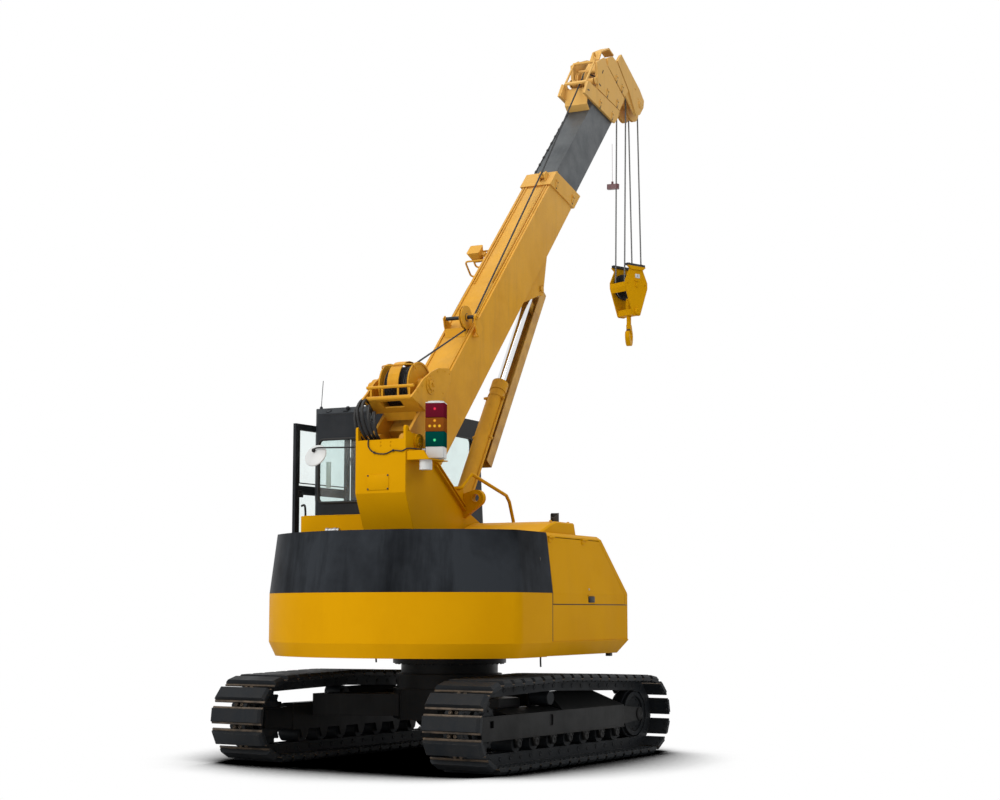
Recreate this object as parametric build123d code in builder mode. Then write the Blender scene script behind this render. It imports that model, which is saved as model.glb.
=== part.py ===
from build123d import *
from math import acos, atan2, cos, degrees, hypot, pi, radians, sin
import os

# Telescopic boom crane on two tracks. Millimetres, +Z up, +X along the boom,
# origin on the ground under the slewing axis.

# Undercarriage, driving sizes
chassis_turn = -6
overall_width = 2990
shoe_width = 600
track_length = 3580
sprocket_axle_height = 400
idler_axle_height = 385
ground_to_link_pin = 111
link_count = 43
shoe_outer = 72
pad_height = 39
link_inner = 45
link_outer = 52
rail_gap = 100
rail_thickness = 40
carrier_x = -250
carrier_lift = 26
carrier_clearance = 4
shoe_gap = 10
pad_gap = 21
pad_draft = 5
pad_end_chamfer = 24
frame_rear_x = -1075
frame_front_x = 1050
frame_panel_rear = -1500
frame_bottom = 277
frame_panel_top = 490
frame_roof_inner = 530
frame_ridge_top = 655
frame_ridge_rear = -130
frame_ridge_front = 650
frame_ridge_in = 15
frame_plate = 22
frame_inner_reach = 130
frame_outer_reach = 155
final_drive_clearance = 10
sprocket_teeth = 21
lower_roller_count = 7
lower_roller_pitch = 300
roller_radius = 75
carrier_roller_radius = 62
running_gap = 0.3

# Slewing ring
ring_bottom = 800
ring_split = 900
ring_top = 985
ring_lower_radius = 470
ring_upper_radius = 550

# Revolving frame and bodywork
half_width = 1330
tail_radius = 1770
tail_corner_radius = 170
body_bottom = 980
body_chamfer_height = 130
body_chamfer_in = 60
deck_plate_top = 1118
lower_body_top = 1457
counterweight_top = 1563
band_top = 2120
band_lean = 65
seam_x = -490
pocket_half_width = 295
pocket_rear_x = -1340
web_inner_y = 240
web_thickness = 25
body_front_x = 1330
nose_top = 1575
nose_chamfer = 166
slope_rear_x = 780
bonnet_top = 2125
bonnet_rise_top = 2240
bay_inset = 8
body_edge = 30
sheet = 22
hinge_stations = (-380, 380)
hinge_width = 60
hinge_leaf = 8
hinge_radius = 10
hinge_drop = 45
exhaust_place = (500, -900)
exhaust_radius = 42
exhaust_wall = 6
exhaust_height = 232
panel_gap = 6
bay_inner_y = 300
web_setback = 20

# Boom foot tower, its ear, lamp shelf and rail
pedestal_rise = 20
pedestal_front_x = 160
rear_plate_top = 2960
flange_width = 35
lashing_hole = (-1312, 3042)
ear_hole = (-401, 2477)
ear_radius = 80
ear_bore_radius = 37
ear_x = (-230, -170)
shelf_x = (-1345, -985)
shelf_reach = 500
shelf_z = 2765
shelf_plate = 10
lamp_place = (-1065, -420)
lamp_turn = 20
lamp_size = 146
lamp_stub = 35
lamp_seam = 0.5
lamp_levels = (2895, 3035, 3165, 3300)
siren_x = -1260
siren_height = 90
rail_y = -320
rail_radius = 17

# Boom, cylinder and their pins
foot_pin_x = -1139
foot_pin_z = 2945
foot_pin_radius = 45
cylinder_pin_radius = 45
boom_angle = 45.6
boom_half_width = 170
boom_top_h = -58
boom_bottom_h = -570
boom_wall = 10
boom_start_s = 250
boom_end_s = 4700
lug_plate = 30
collar_start = 4404
collar_length = 251
collar_slant = 346
collar_rise = 24
collar_plate = 16
slide_gap = 6
strip_height = 14
roller_h = 6
rope_line_y = -72
fly_half_width = 140
fly_top_h = -82
fly_bottom_h = -552
fly_start_s = 1330
fly_end_s = 6600
eye_x = 1859.7
eye_z = 4883.6
cylinder_base_x = -579.4
cylinder_base_z = 1245.5
tube_radius = 80
rod_radius = 47.5
tube_length = 3030
rod_length = 2450
guard_length = 2280
guard_over_eye = 120
guard_half_width = 58
guard_near = 115
guard_far = 240
guard_wall = 8
gland_step = 8
cheek_clearance = 6
cheek_thickness = 24
cheek_radius = 80
eye_pin_radius = 32
gland_length = 120

# Winch and rope guide, in stations along the boom and heights over its pin line
drum_place = (557, 220)
drum_half_width = 146
drum_flange_radius = 230
strap_radius = 236
strap_plate = 7
winch_plate_y = 270
winch_plate = 20
guide_shaft = (1835, 68)
guide_disc_y = -116
guide_disc_radius = 118

# Hook and ropes
rope_radius = 9
head_rope_y = (-60, 60)
head_sheave_radius = 190
guide_sheave_radius = 105
sheave_half_width = 18
sheave_groove = 26
sheave_rim = 14
head_inner_y = fly_half_width
head_plate = 16
head_axle_radius = 38
guide_s = 6450
guide_h = 80
head_axle_x = 4665
head_axle_z = 7670
block_x = head_axle_x
block_axle_z = 5380
block_top = 5600
block_bottom = 5000
block_turn = -23
block_sheave_radius = 146
block_sheave_y = 78
block_pin_radius = 30
block_clearance = 28
block_cheek = 14
cheek_half = 190
buffer_half = 150
buffer_inner_y = 100
limit_weight_z = 6590
limit_weight_height = 62
limit_wire_length = 480
hook_centre_z = 4760
hook_throat = 55
hook_thickness = 56
hook_shank_radius = 28
hook_turn = 10

# Cab
cab_right_y = 370
cab_inset = 30
cab_rear_x = -478
cab_floor_z = 1640
cab_roof_z = 3405
cab_front_floor_x = 1500
cab_front_roof_x = 1340
cab_wall = 36
door_open_angle = 175
door_hinge_x = 360
door_hinge_out = 50
door_length = 912
cab_corner = 90
window_corner = 55
pane_thickness = 8
pane_height = (2450, 3200)
mirror_x = -905
mirror_y = 1000
mirror_z = 2890

track_y = (overall_width - shoe_width) / 2
frame_inner_y = track_y - frame_inner_reach
frame_outer_y = track_y + frame_outer_reach
frame_ridge_y = track_y - frame_ridge_in
cab_left_y = half_width - cab_inset
pedestal_foot_z = bonnet_top + pedestal_rise
bay_side_y = half_width - bay_inset
rear_window = (cab_right_y + 90, cab_left_y - 75, 2460, 3085)
side_window = ((-400, 330), (420, 1180))
door_hole = (door_hinge_x + 30, 1230, cab_floor_z + 60, cab_roof_z - 160)
outer_radius_stack = shoe_outer + pad_height
sprocket_radius = sprocket_axle_height - ground_to_link_pin
idler_radius = idler_axle_height - ground_to_link_pin
sprocket_x = -(track_length / 2 - sprocket_radius - outer_radius_stack)
idler_x = track_length / 2 - idler_radius - outer_radius_stack

cheek_inner_y = tube_radius + gland_step + cheek_clearance
cylinder_angle = degrees(atan2(eye_z - cylinder_base_z, eye_x - cylinder_base_x))
cylinder_length = hypot(eye_z - cylinder_base_z, eye_x - cylinder_base_x)

boom_side = Plane(
    origin=(foot_pin_x, 0, foot_pin_z),
    x_dir=(cos(radians(boom_angle)), 0, sin(radians(boom_angle))),
    z_dir=(0, -1, 0),
)
cylinder_side = Plane(
    origin=(cylinder_base_x, 0, cylinder_base_z),
    x_dir=(cos(radians(cylinder_angle)), 0, sin(radians(cylinder_angle))),
    z_dir=(0, -1, 0),
)
cylinder_axis = Plane(origin=cylinder_side.origin, x_dir=(0, 1, 0), z_dir=cylinder_side.x_dir)
chassis = Location((0, 0, 0), (0, 0, chassis_turn))
block_axis = Axis((block_x, 0, 0), (0, 0, 1))
eye_point = boom_side.to_local_coords(Vector(eye_x, 0, eye_z))
eye_s, eye_h = eye_point.X, eye_point.Y


def side_plate(points, low_y, high_y, side=Plane.XZ, mode=Mode.ADD):
    """A flat plate whose outline lies in a side view and that runs from low_y to high_y."""
    with BuildSketch(side.offset(-high_y)) as outline:
        Polygon(*points, align=None)
    extrude(outline.sketch, amount=high_y - low_y, mode=mode)


def cross_section(points, low_x, high_x, mode=Mode.ADD):
    """A bar along X whose outline lies in the YZ plane."""
    with BuildSketch(Plane.YZ.offset(low_x)) as outline:
        Polygon(*points, align=None)
    extrude(outline.sketch, amount=high_x - low_x, mode=mode)


def span(side, near, far):
    """The low and high Y of a piece that lies between two distances from the middle."""
    return sorted((side * near, side * far))


def side_lean(z):
    """How far the leaning side of the bodywork stands inside its widest line."""
    return max(0, z - counterweight_top) * band_lean / (band_top - counterweight_top)


hinge_z = bonnet_top - hinge_drop
hinge_y = bay_side_y - side_lean(hinge_z) + hinge_radius


def cross_rod(x, z, radius, low_y, high_y, side=Plane.XZ, mode=Mode.ADD):
    """A round bar or hole along Y."""
    with BuildSketch(side.offset(-high_y)) as outline:
        with Locations((x, z)):
            Circle(radius)
    extrude(outline.sketch, amount=high_y - low_y, mode=mode)


def block(low_x, high_x, low_y, high_y, low_z, high_z, mode=Mode.ADD):
    """An upright box between six faces."""
    with Locations(((low_x + high_x) / 2, (low_y + high_y) / 2, (low_z + high_z) / 2)):
        Box(high_x - low_x, high_y - low_y, high_z - low_z, mode=mode)


def boom_box(low_s, high_s, half_y, low_h, high_h, mode=Mode.ADD):
    """A box that lies along the boom, between two stations and two heights."""
    side_plate(
        [(low_s, low_h), (high_s, low_h), (high_s, high_h), (low_s, high_h)],
        -half_y, half_y, boom_side, mode,
    )


def round_bar(path_points, bend, radius):
    """A bent round bar through the given corners."""
    with BuildLine() as route:
        FilletPolyline(*path_points, radius=bend)
    start = route.line @ 0
    along = route.line % 0
    with BuildSketch(Plane(origin=start, z_dir=along)) as section:
        Circle(radius)
    sweep(section.sketch, path=route.line)


# Track path: rear arc on the sprocket, front arc on the idler, bottom run,
# and a top run that climbs to the carrier roller and falls to both wheels.

carrier_pin_z = sprocket_axle_height + sprocket_radius + carrier_lift


def tangent_lean(wheel_x, wheel_z, wheel_radius):
    """Angle between the wheel's crown and the place where the top run touches it."""
    away_x = abs(carrier_x - wheel_x)
    rise = carrier_pin_z - wheel_z
    reach = hypot(away_x, rise)
    return 90 - degrees(atan2(rise, away_x)) - degrees(acos(wheel_radius / reach))


sprocket_lean = tangent_lean(sprocket_x, sprocket_axle_height, sprocket_radius)
idler_lean = tangent_lean(idler_x, idler_axle_height, idler_radius)


def path_pieces():
    """The pin line of the track as (kind, data, length) pieces, clockwise seen from the right."""
    rear_touch = 90 + sprocket_lean
    front_touch = 90 - idler_lean
    rear_top = (
        sprocket_x + sprocket_radius * cos(radians(rear_touch)),
        sprocket_axle_height + sprocket_radius * sin(radians(rear_touch)),
    )
    front_top = (
        idler_x + idler_radius * cos(radians(front_touch)),
        idler_axle_height + idler_radius * sin(radians(front_touch)),
    )
    crest = (carrier_x, carrier_pin_z)
    front_low = (idler_x, ground_to_link_pin)
    rear_low = (sprocket_x, ground_to_link_pin)
    front_sweep = front_touch + 90
    rear_sweep = 270 - rear_touch
    return [
        ("line", (rear_top, crest), hypot(crest[0] - rear_top[0], crest[1] - rear_top[1])),
        ("line", (crest, front_top), hypot(front_top[0] - crest[0], front_top[1] - crest[1])),
        ("arc", (idler_x, idler_axle_height, idler_radius, front_touch),
        radians(front_sweep) * idler_radius),
        ("line", (front_low, rear_low), front_low[0] - rear_low[0]),
        ("arc", (sprocket_x, sprocket_axle_height, sprocket_radius, 270),
        radians(rear_sweep) * sprocket_radius),
    ]


def pin_point(distance):
    """The point of the pin line at a distance along it."""
    pieces = path_pieces()
    left = distance % sum(piece[2] for piece in pieces)
    for kind, data, length in pieces:
        if left <= length:
            if kind == "line":
                (ax, az), (bx, bz) = data
                share = left / length
                return ax + (bx - ax) * share, az + (bz - az) * share
            centre_x, centre_z, radius, first = data
            angle = radians(first) - left / radius
            return centre_x + radius * cos(angle), centre_z + radius * sin(angle)
        left -= length
    return pin_point(0)


track_pitch = sum(piece[2] for piece in path_pieces()) / link_count
pad_half = track_pitch / 2 - pad_gap
link_pins = [pin_point(track_pitch * number) for number in range(link_count)]


def link_stations():
    """Centre and direction of every link, as (x, z, angle)."""
    stations = []
    for number, (ax, az) in enumerate(link_pins):
        bx, bz = link_pins[(number + 1) % link_count]
        stations.append(((ax + bx) / 2, (az + bz) / 2, degrees(atan2(bz - az, bx - ax))))
    return stations


def chain_corner(number, offset):
    """The corner of the link band at one pin, offset outwards from the pin line."""
    before = link_pins[number - 1]
    here = link_pins[number]
    after = link_pins[(number + 1) % link_count]
    first = atan2(here[1] - before[1], here[0] - before[0])
    second = atan2(after[1] - here[1], after[0] - here[0])
    middle = first + ((second - first + pi) % (2 * pi) - pi) / 2
    reach = offset / cos(((second - first + pi) % (2 * pi) - pi) / 2)
    return here[0] - reach * sin(middle), here[1] + reach * cos(middle)


def shoe_outline():
    """One shoe with its road pad, seen from the side; the pin line is at height 0."""
    half = track_pitch / 2 - shoe_gap / 2
    return [
        (-half, link_outer), (half, link_outer), (half, shoe_outer - 6),
        (pad_half, shoe_outer - 2), (pad_half - pad_draft, shoe_outer + pad_height),
        (-pad_half + pad_draft, shoe_outer + pad_height), (-pad_half, shoe_outer - 2),
        (-half, shoe_outer - 6),
    ]


def make_track(side):
    """One endless track: two rows of links and a shoe with a flat road pad on every link."""
    centre_y = side * track_y
    pad_top = 2 * (pad_half - pad_draft)
    with BuildPart() as track:
        with BuildSketch(Plane.XZ.offset(-(centre_y + shoe_width / 2))) as shoes:
            for x, z, angle in link_stations():
                with Locations(Location((x, z, 0), (0, 0, angle))):
                    Polygon(*shoe_outline(), align=None)
        extrude(shoes.sketch, amount=shoe_width)
        pad_ends = [
            edge for edge in track.edges()
            if abs(edge.length - pad_top) < 0.5
            and abs(abs(edge.center().Y - centre_y) - shoe_width / 2) < 0.5
        ]
        chamfer(pad_ends, pad_end_chamfer)
        for rail in (-1, 1):
            rail_y = centre_y + rail * (rail_gap + rail_thickness) / 2
            with BuildSketch(Plane.XZ.offset(-(rail_y + rail_thickness / 2))) as band:
                Polygon(*[chain_corner(n, link_outer) for n in range(link_count)], align=None)
                Polygon(*[chain_corner(n, -link_inner) for n in range(link_count)], align=None,
                    mode=Mode.SUBTRACT)
            extrude(band.sketch, amount=rail_thickness)
    return track.part


def make_track_frame(side):
    """Side frame: long outer panel, raised and sloping roof, and roller brackets below."""
    plate = frame_plate
    box_section = [
        (frame_inner_y, frame_bottom), (frame_inner_y + plate, frame_bottom),
        (frame_inner_y + plate, frame_bottom + 52), (frame_outer_y - plate, frame_bottom + 52),
        (frame_outer_y - plate, frame_bottom), (frame_outer_y, frame_bottom),
        (frame_outer_y, frame_panel_top), (frame_outer_y - 170, frame_roof_inner),
        (frame_inner_y, frame_roof_inner),
    ]
    ridge_section = [
        (frame_outer_y, frame_panel_top), (frame_ridge_y, frame_ridge_top),
        (frame_ridge_y - 20, frame_ridge_top), (frame_inner_y, frame_roof_inner),
    ]
    with BuildPart() as frame:
        cross_section([(side * y, z) for y, z in box_section], frame_rear_x, frame_front_x)
        cross_section([(side * y, z) for y, z in ridge_section], frame_ridge_rear, frame_front_x)
        side_plate(
            [(frame_ridge_front, frame_ridge_top), (frame_front_x, frame_panel_top),
             (frame_front_x + 1, frame_ridge_top + 1), (frame_ridge_front, frame_ridge_top + 1)],
            *span(side, frame_inner_y - 1, frame_outer_y + 1), mode=Mode.SUBTRACT,
        )
        # Outer panel, carried on behind the box beside the final drive
        outer = span(side, frame_outer_y - plate, frame_outer_y)
        side_plate(
            [(frame_panel_rear, frame_bottom), (frame_front_x, frame_bottom),
             (frame_front_x, frame_panel_top), (frame_panel_rear, frame_panel_top)], *outer,
        )
        flange = span(side, frame_outer_y, frame_outer_y + 7)
        side_plate(
            [(frame_panel_rear, frame_bottom), (frame_front_x, frame_bottom),
             (frame_front_x, frame_bottom + 10), (frame_panel_rear, frame_bottom + 10)], *flange,
        )
        side_plate(
            [(-1370, 390), (-1310, 390), (-1310, 450), (-1370, 450)],
            *span(side, frame_outer_y - plate - 1, frame_outer_y + 1), mode=Mode.SUBTRACT,
        )
        with BuildSketch(Plane.XZ.offset(-max(span(side, frame_outer_y - 12, frame_outer_y + 1)))) as recess:
            with Locations((-340, 412)):
                RectangleRounded(76, 100, 20)
        extrude(recess.sketch, amount=13, mode=Mode.SUBTRACT)
        for number in range(lower_roller_count):
            x = (number - (lower_roller_count - 1) / 2) * lower_roller_pitch
            for near, far in ((frame_inner_y, frame_inner_y + plate),
                (frame_outer_y - plate, frame_outer_y)):
                side_plate(
                    [(x - 60, frame_bottom), (x - 32, 196), (x + 32, 196), (x + 60, frame_bottom)],
                    *span(side, near, far),
                )
        # Fork arms that carry the idler and the final drive
        for near, far in ((frame_inner_y + 5, frame_inner_y + 35), (frame_outer_y - 50, frame_outer_y - 20)):
            side_plate(
                [(frame_front_x, 300), (idler_x + 60, 330), (idler_x + 60, 440), (frame_front_x, 480)],
                *span(side, near, far),
            )
        side_plate(
            [(frame_rear_x, 290), (sprocket_x - 90, 310), (sprocket_x - 90, 490), (frame_rear_x, 500)],
            *span(side, frame_inner_y + 5, frame_inner_y + 35),
        )
        # Carrier roller bracket
        top = carrier_pin_z - link_inner - carrier_roller_radius
        side_plate(
            [(carrier_x - 70, frame_roof_inner), (carrier_x + 70, frame_roof_inner),
             (carrier_x + 35, top + 35), (carrier_x - 35, top + 35)],
            *span(side, frame_inner_y, frame_inner_y + plate),
        )
    return frame.part


def make_rollers(side):
    """Seven lower rollers and the carrier roller of one side, each with its shaft."""
    inner = frame_inner_y + 22
    outer = frame_outer_y - 22
    ends = span(side, inner, outer)
    body = span(side, inner + 8, outer - 8)
    rail_height = ground_to_link_pin + link_inner
    with BuildPart() as rollers:
        for number in range(lower_roller_count):
            x = (number - (lower_roller_count - 1) / 2) * lower_roller_pitch
            z = rail_height + roller_radius + running_gap
            cross_rod(x, z, 28, *ends)
            cross_rod(x, z, roller_radius, *body)
        z = carrier_pin_z - link_inner - carrier_roller_radius - carrier_clearance
        roller = span(side, inner + 10, track_y + 95)
        cross_rod(carrier_x, z, 24, *span(side, inner, track_y + 90))
        cross_rod(carrier_x, z, carrier_roller_radius, *roller)
    return rollers.part


def make_idler(side):
    """Front idler: smooth tread with a guide flange between the rails, on a hub."""
    tread = idler_radius * cos(pi / 10) - link_inner - running_gap
    with BuildPart() as idler:
        cross_rod(idler_x, idler_axle_height, tread, track_y * side - 80, track_y * side + 80)
        cross_rod(idler_x, idler_axle_height, tread + 22, track_y * side - 44, track_y * side + 44)
        low, high = track_y * side - 80, track_y * side + 80
        for face, depth in ((low, 22), (high - 22, 22)):
            cross_rod(idler_x, idler_axle_height, tread - 40, face, face + depth, mode=Mode.SUBTRACT)
        axle = span(side, frame_inner_y + 35, frame_outer_y - 50)
        cross_rod(idler_x, idler_axle_height, 60, *axle)
    return idler.part


def make_sprocket(side):
    """Rear drive sprocket with its final drive housing."""
    tooth_top = sprocket_radius + 4
    tooth_root = sprocket_radius - 34
    drive_end = frame_outer_y - frame_plate - final_drive_clearance
    with BuildPart() as sprocket:
        with BuildSketch(Plane.XZ.offset(-(side * track_y + 30))) as disc:
            with Locations((sprocket_x, sprocket_axle_height)):
                corners = []
                for number in range(sprocket_teeth):
                    for share, radius in ((0.0, tooth_root), (0.3, tooth_root), (0.5, tooth_top),
                        (0.7, tooth_top)):
                        turn = 2 * pi * (number + share) / sprocket_teeth
                        corners.append((radius * cos(turn), radius * sin(turn)))
                Polygon(*corners, align=None)
        extrude(disc.sketch, amount=60)
        cross_rod(sprocket_x, sprocket_axle_height, 190, *span(side, track_y + 30, drive_end - 25))
        cross_rod(sprocket_x, sprocket_axle_height, 120, *span(side, drive_end - 25, drive_end))
        cross_rod(sprocket_x, sprocket_axle_height, 165, *span(side, frame_inner_y + 35, track_y - 30))
    return sprocket.part


def make_car_body():
    """Centre of the undercarriage: ring drum on a plate, with four legs to the side frames."""
    with BuildPart() as body:
        with BuildSketch(Plane.XY.offset(400)) as legs:
            for along in (-1, 1):
                for across in (-1, 1):
                    Polygon(
                        (0, 0), (0, across * 260), (along * 420, across * frame_inner_y),
                        (along * 780, across * frame_inner_y), (along * 330, 0), align=None,
                    )
        extrude(legs.sketch, amount=210)
        with BuildSketch(Plane.XY.offset(370)) as centre:
            RegularPolygon(560, 8, rotation=22.5)
        extrude(centre.sketch, amount=290)
        with Locations((0, 0, (660 + ring_bottom) / 2)):
            Cylinder(ring_lower_radius + 40, ring_bottom - 660)
    return body.part


def make_ring_lower():
    """Fixed race of the slewing ring."""
    with BuildPart() as ring:
        with BuildSketch(Plane.XY.offset(ring_bottom)):
            Circle(ring_lower_radius)
            Circle(ring_lower_radius - 110, mode=Mode.SUBTRACT)
        extrude(amount=ring_split - ring_bottom - running_gap)
    return ring.part


def make_ring_upper():
    """Turning race of the slewing ring."""
    with BuildPart() as ring:
        with BuildSketch(Plane.XY.offset(ring_split)):
            Circle(ring_upper_radius)
            Circle(ring_lower_radius - 110, mode=Mode.SUBTRACT)
        extrude(amount=ring_top - ring_split)
    return ring.part


def make_revolving_frame():
    """Base plate with a lip and chamfered sides, and the two tall webs under the boom foot."""
    tongue = pocket_half_width - running_gap
    rise = (ring_top - body_bottom) / body_chamfer_height
    low_side = half_width - body_chamfer_in * (1 - rise)
    chamfer_top = body_bottom + body_chamfer_height
    with BuildPart() as frame:
        cross_section(
            [(-low_side, ring_top), (low_side, ring_top), (half_width, chamfer_top),
            (half_width, deck_plate_top),
             (-half_width, deck_plate_top), (-half_width, chamfer_top)],
            seam_x + running_gap, body_front_x,
        )
        side_plate(
            [(body_front_x + 1, ring_top - 1), (body_front_x - nose_chamfer, ring_top - 1),
             (body_front_x + 1, chamfer_top)],
            -half_width - 1, half_width + 1, mode=Mode.SUBTRACT,
        )
        block(pocket_rear_x + web_setback, seam_x + 40, -tongue, tongue, ring_top, deck_plate_top)
        web = [
            (pocket_rear_x + web_setback, deck_plate_top), (1080, deck_plate_top), (1080, 1420),
            (pedestal_front_x, pedestal_foot_z), (-1205, pedestal_foot_z),
            (pocket_rear_x + web_setback, 1500),
        ]
        for side in (-1, 1):
            side_plate(web, *span(side, web_inner_y, web_inner_y + web_thickness))
        cross_rod(cylinder_base_x, cylinder_base_z, cylinder_pin_radius, -web_inner_y, web_inner_y)
        block(
            pocket_rear_x + web_setback, pocket_rear_x + web_setback + web_thickness,
            -web_inner_y, web_inner_y, deck_plate_top, 1500,
        )
    return frame.part


def tail_sketch(front_x, inset=0):
    """Plan of the tail: a part of the tail circle with softened side corners."""
    side = half_width - inset
    radius = tail_radius - inset
    corner_x = -(radius ** 2 - side ** 2) ** 0.5
    with BuildSketch() as plan:
        with BuildLine():
            Line((front_x, -side), (front_x, side))
            Line((front_x, side), (corner_x, side))
            ThreePointArc((corner_x, side), (-radius, 0), (corner_x, -side))
            Line((corner_x, -side), (front_x, -side))
        make_face()
        corners = plan.vertices().filter_by(lambda v: abs(v.X - corner_x) < 1)
        fillet(corners, tail_corner_radius)
    return plan.sketch


def tail_pocket(low_z, high_z):
    """Space in the tail for the boom foot."""
    block(pocket_rear_x, 0, -pocket_half_width, pocket_half_width, low_z, high_z, mode=Mode.SUBTRACT)


def make_counterweight():
    """Cast tail weight with a chamfered lower edge and a pocket for the boom foot."""
    with BuildPart() as weight:
        with BuildSketch(Plane.XY.offset(body_bottom)):
            add(tail_sketch(seam_x, body_chamfer_in))
        with BuildSketch(Plane.XY.offset(body_bottom + body_chamfer_height)):
            add(tail_sketch(seam_x))
        loft()
        with BuildSketch(Plane.XY.offset(body_bottom + body_chamfer_height)):
            add(tail_sketch(seam_x))
        extrude(amount=counterweight_top - body_bottom - body_chamfer_height)
        tail_pocket(body_bottom - 10, counterweight_top + 10)
    return weight.part


def make_counterweight_band():
    """Upper tail weight, leaning inwards a little, with the same pocket."""
    with BuildPart() as band:
        with BuildSketch(Plane.XY.offset(counterweight_top)):
            add(tail_sketch(seam_x))
        with BuildSketch(Plane.XY.offset(band_top)):
            add(tail_sketch(seam_x, band_lean))
        loft()
        tail_pocket(counterweight_top - 10, band_top + 10)
    return band.part


def bay_outline(inset=0):
    """Side view of the right-hand bodywork, stepped in by the given wall."""
    lean = 0.6
    return [
        (seam_x + 8 + inset, deck_plate_top + inset),
        (body_front_x - inset, deck_plate_top + inset),
        (body_front_x - inset, nose_top - lean * inset),
        (slope_rear_x - lean * inset, bonnet_top - inset),
        (seam_x + 8 + inset, bonnet_top - inset),
    ]


def door_outline(gap=0):
    """Side view of the engine door or of its opening."""
    front = body_front_x - 70 - gap
    return [
        (seam_x + 30 + gap, lower_body_top + gap),
        (front, lower_body_top + gap),
        (front, nose_top - 10),
        (slope_rear_x - 30, bonnet_top - 42 - gap),
        (seam_x + 30 + gap, bonnet_top - 42 - gap),
    ]


def side_section(inset, low_z, high_z, inner_y, edge=0):
    """Cross section of the bodywork: upright below its crease, leaning inwards above."""
    outer = bay_side_y - inset
    corners = [(-inner_y, low_z), (-outer, low_z), (-outer, counterweight_top)]
    corners.append((-(outer - side_lean(high_z - edge)), high_z - edge))
    if edge:
        corners.append((-(outer - side_lean(high_z) - edge), high_z))
    corners.append((-inner_y, high_z))
    return corners


def leaning_body(outline, section):
    """A body whose side view and cross section are both given."""
    with BuildPart() as body:
        side_plate(outline, -half_width - 1, 0)
        cross_section(section, seam_x - 1, body_front_x + 1, mode=Mode.INTERSECT)
    return body.part


def make_engine_bay():
    """Right-hand bodywork: hollow housing with a raked nose and an open side for the door."""
    body = leaning_body(
        bay_outline(), side_section(0, deck_plate_top, bonnet_top, bay_inner_y, body_edge),
    )
    void = leaning_body(
        bay_outline(sheet),
        side_section(sheet, deck_plate_top + sheet, bonnet_top - sheet, bay_inner_y + sheet),
    )
    with BuildPart() as bay:
        add(body)
        add(void, mode=Mode.SUBTRACT)
        side_plate(door_outline(), -half_width - 1, -bay_side_y + band_lean + sheet + 1, mode=Mode.SUBTRACT)
    return bay.part


def make_engine_door():
    """Upper side door, hinged along its top edge, with a hooded pull handle and two hinge leaves."""
    thickness = sheet - 2
    top = bonnet_top - 42
    skin = [
        (-bay_side_y, lower_body_top), (-bay_side_y, counterweight_top), (-bay_side_y + side_lean(top), top),
        (-bay_side_y + side_lean(top) + thickness, top), (-bay_side_y + thickness, counterweight_top),
        (-bay_side_y + thickness, lower_body_top),
    ]
    door_body = leaning_body(door_outline(panel_gap), skin)
    with BuildPart() as door:
        add(door_body)
        for x in hinge_stations:
            door_leaf(x - hinge_width, x - running_gap, hinge_z - 48, hinge_z)
            hinge_knuckle(x - hinge_width, hinge_width - running_gap)
        hood = [
            (-bay_side_y, 1552), (-bay_side_y - 12, 1549), (-bay_side_y - 12, 1541), (-bay_side_y, 1541),
        ]
        cross_section(hood, 330, 470)
    return door.part


def door_leaf(low_x, high_x, low_z, high_z):
    """A thin hinge leaf that lies on the leaning side."""
    low_y = -bay_side_y + side_lean(low_z)
    high_y = -bay_side_y + side_lean(high_z)
    cross_section(
        [(low_y, low_z), (high_y, high_z), (high_y - hinge_leaf, high_z), (low_y - hinge_leaf, low_z)],
        low_x, high_x,
    )


def hinge_knuckle(low_x, length):
    """A short round barrel on the axis of the engine door."""
    with BuildSketch(Plane.YZ.offset(low_x)) as knuckle:
        with Locations((-hinge_y, hinge_z)):
            Circle(hinge_radius)
    extrude(knuckle.sketch, amount=length)


def make_hinge_leaves():
    """Hinge leaves of the engine door on the bonnet edge."""
    with BuildPart() as leaves:
        for x in hinge_stations:
            door_leaf(x, x + hinge_width, hinge_z, bonnet_top - body_edge)
            hinge_knuckle(x, hinge_width)
    return leaves.part


def make_bonnet():
    """Raised bonnet over the engine, with sloping ends and softened long edges."""
    low_y, high_y = -half_width + 130, -bay_inner_y - 10
    outline = [
        (seam_x + 10, bonnet_top), (-230, bonnet_top + 87), (-110, bonnet_rise_top), (300, bonnet_rise_top),
        (330, bonnet_top + 35), (330, bonnet_top),
    ]
    with BuildPart() as bonnet:
        side_plate(outline, low_y, high_y)
        long_edges = [
            edge for edge in bonnet.edges()
            if edge.center().Z > bonnet_top + 20
            and (edge.center().Y < low_y + 1 or edge.center().Y > high_y - 1)
        ]
        chamfer(long_edges, 14)
    return bonnet.part


def make_engine_block():
    """Engine and pump as one plain block on the base plate."""
    with BuildPart() as engine:
        block(-420, 700, -half_width + 130, -bay_inner_y - 90, deck_plate_top + sheet, 1850)
    return engine.part


def make_exhaust():
    """Exhaust outlet: an upright stub that turns to the front under a slanted, rounded mouth."""
    x, y = exhaust_place
    with BuildPart() as stub:
        with BuildSketch(Plane.XY.offset(bonnet_top)):
            with Locations((x, y)):
                Circle(exhaust_radius)
                Circle(exhaust_radius - exhaust_wall, mode=Mode.SUBTRACT)
        extrude(amount=exhaust_height)
        side_plate(
            [(x - 70, bonnet_top + exhaust_height - 95), (x - 20, bonnet_top + exhaust_height - 20),
             (x + 10, bonnet_top + exhaust_height), (x + 10, bonnet_top + exhaust_height + 1),
             (x - 70, bonnet_top + exhaust_height + 1)],
            y - 60, y + 60, mode=Mode.SUBTRACT,
        )
    return stub.part


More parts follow.
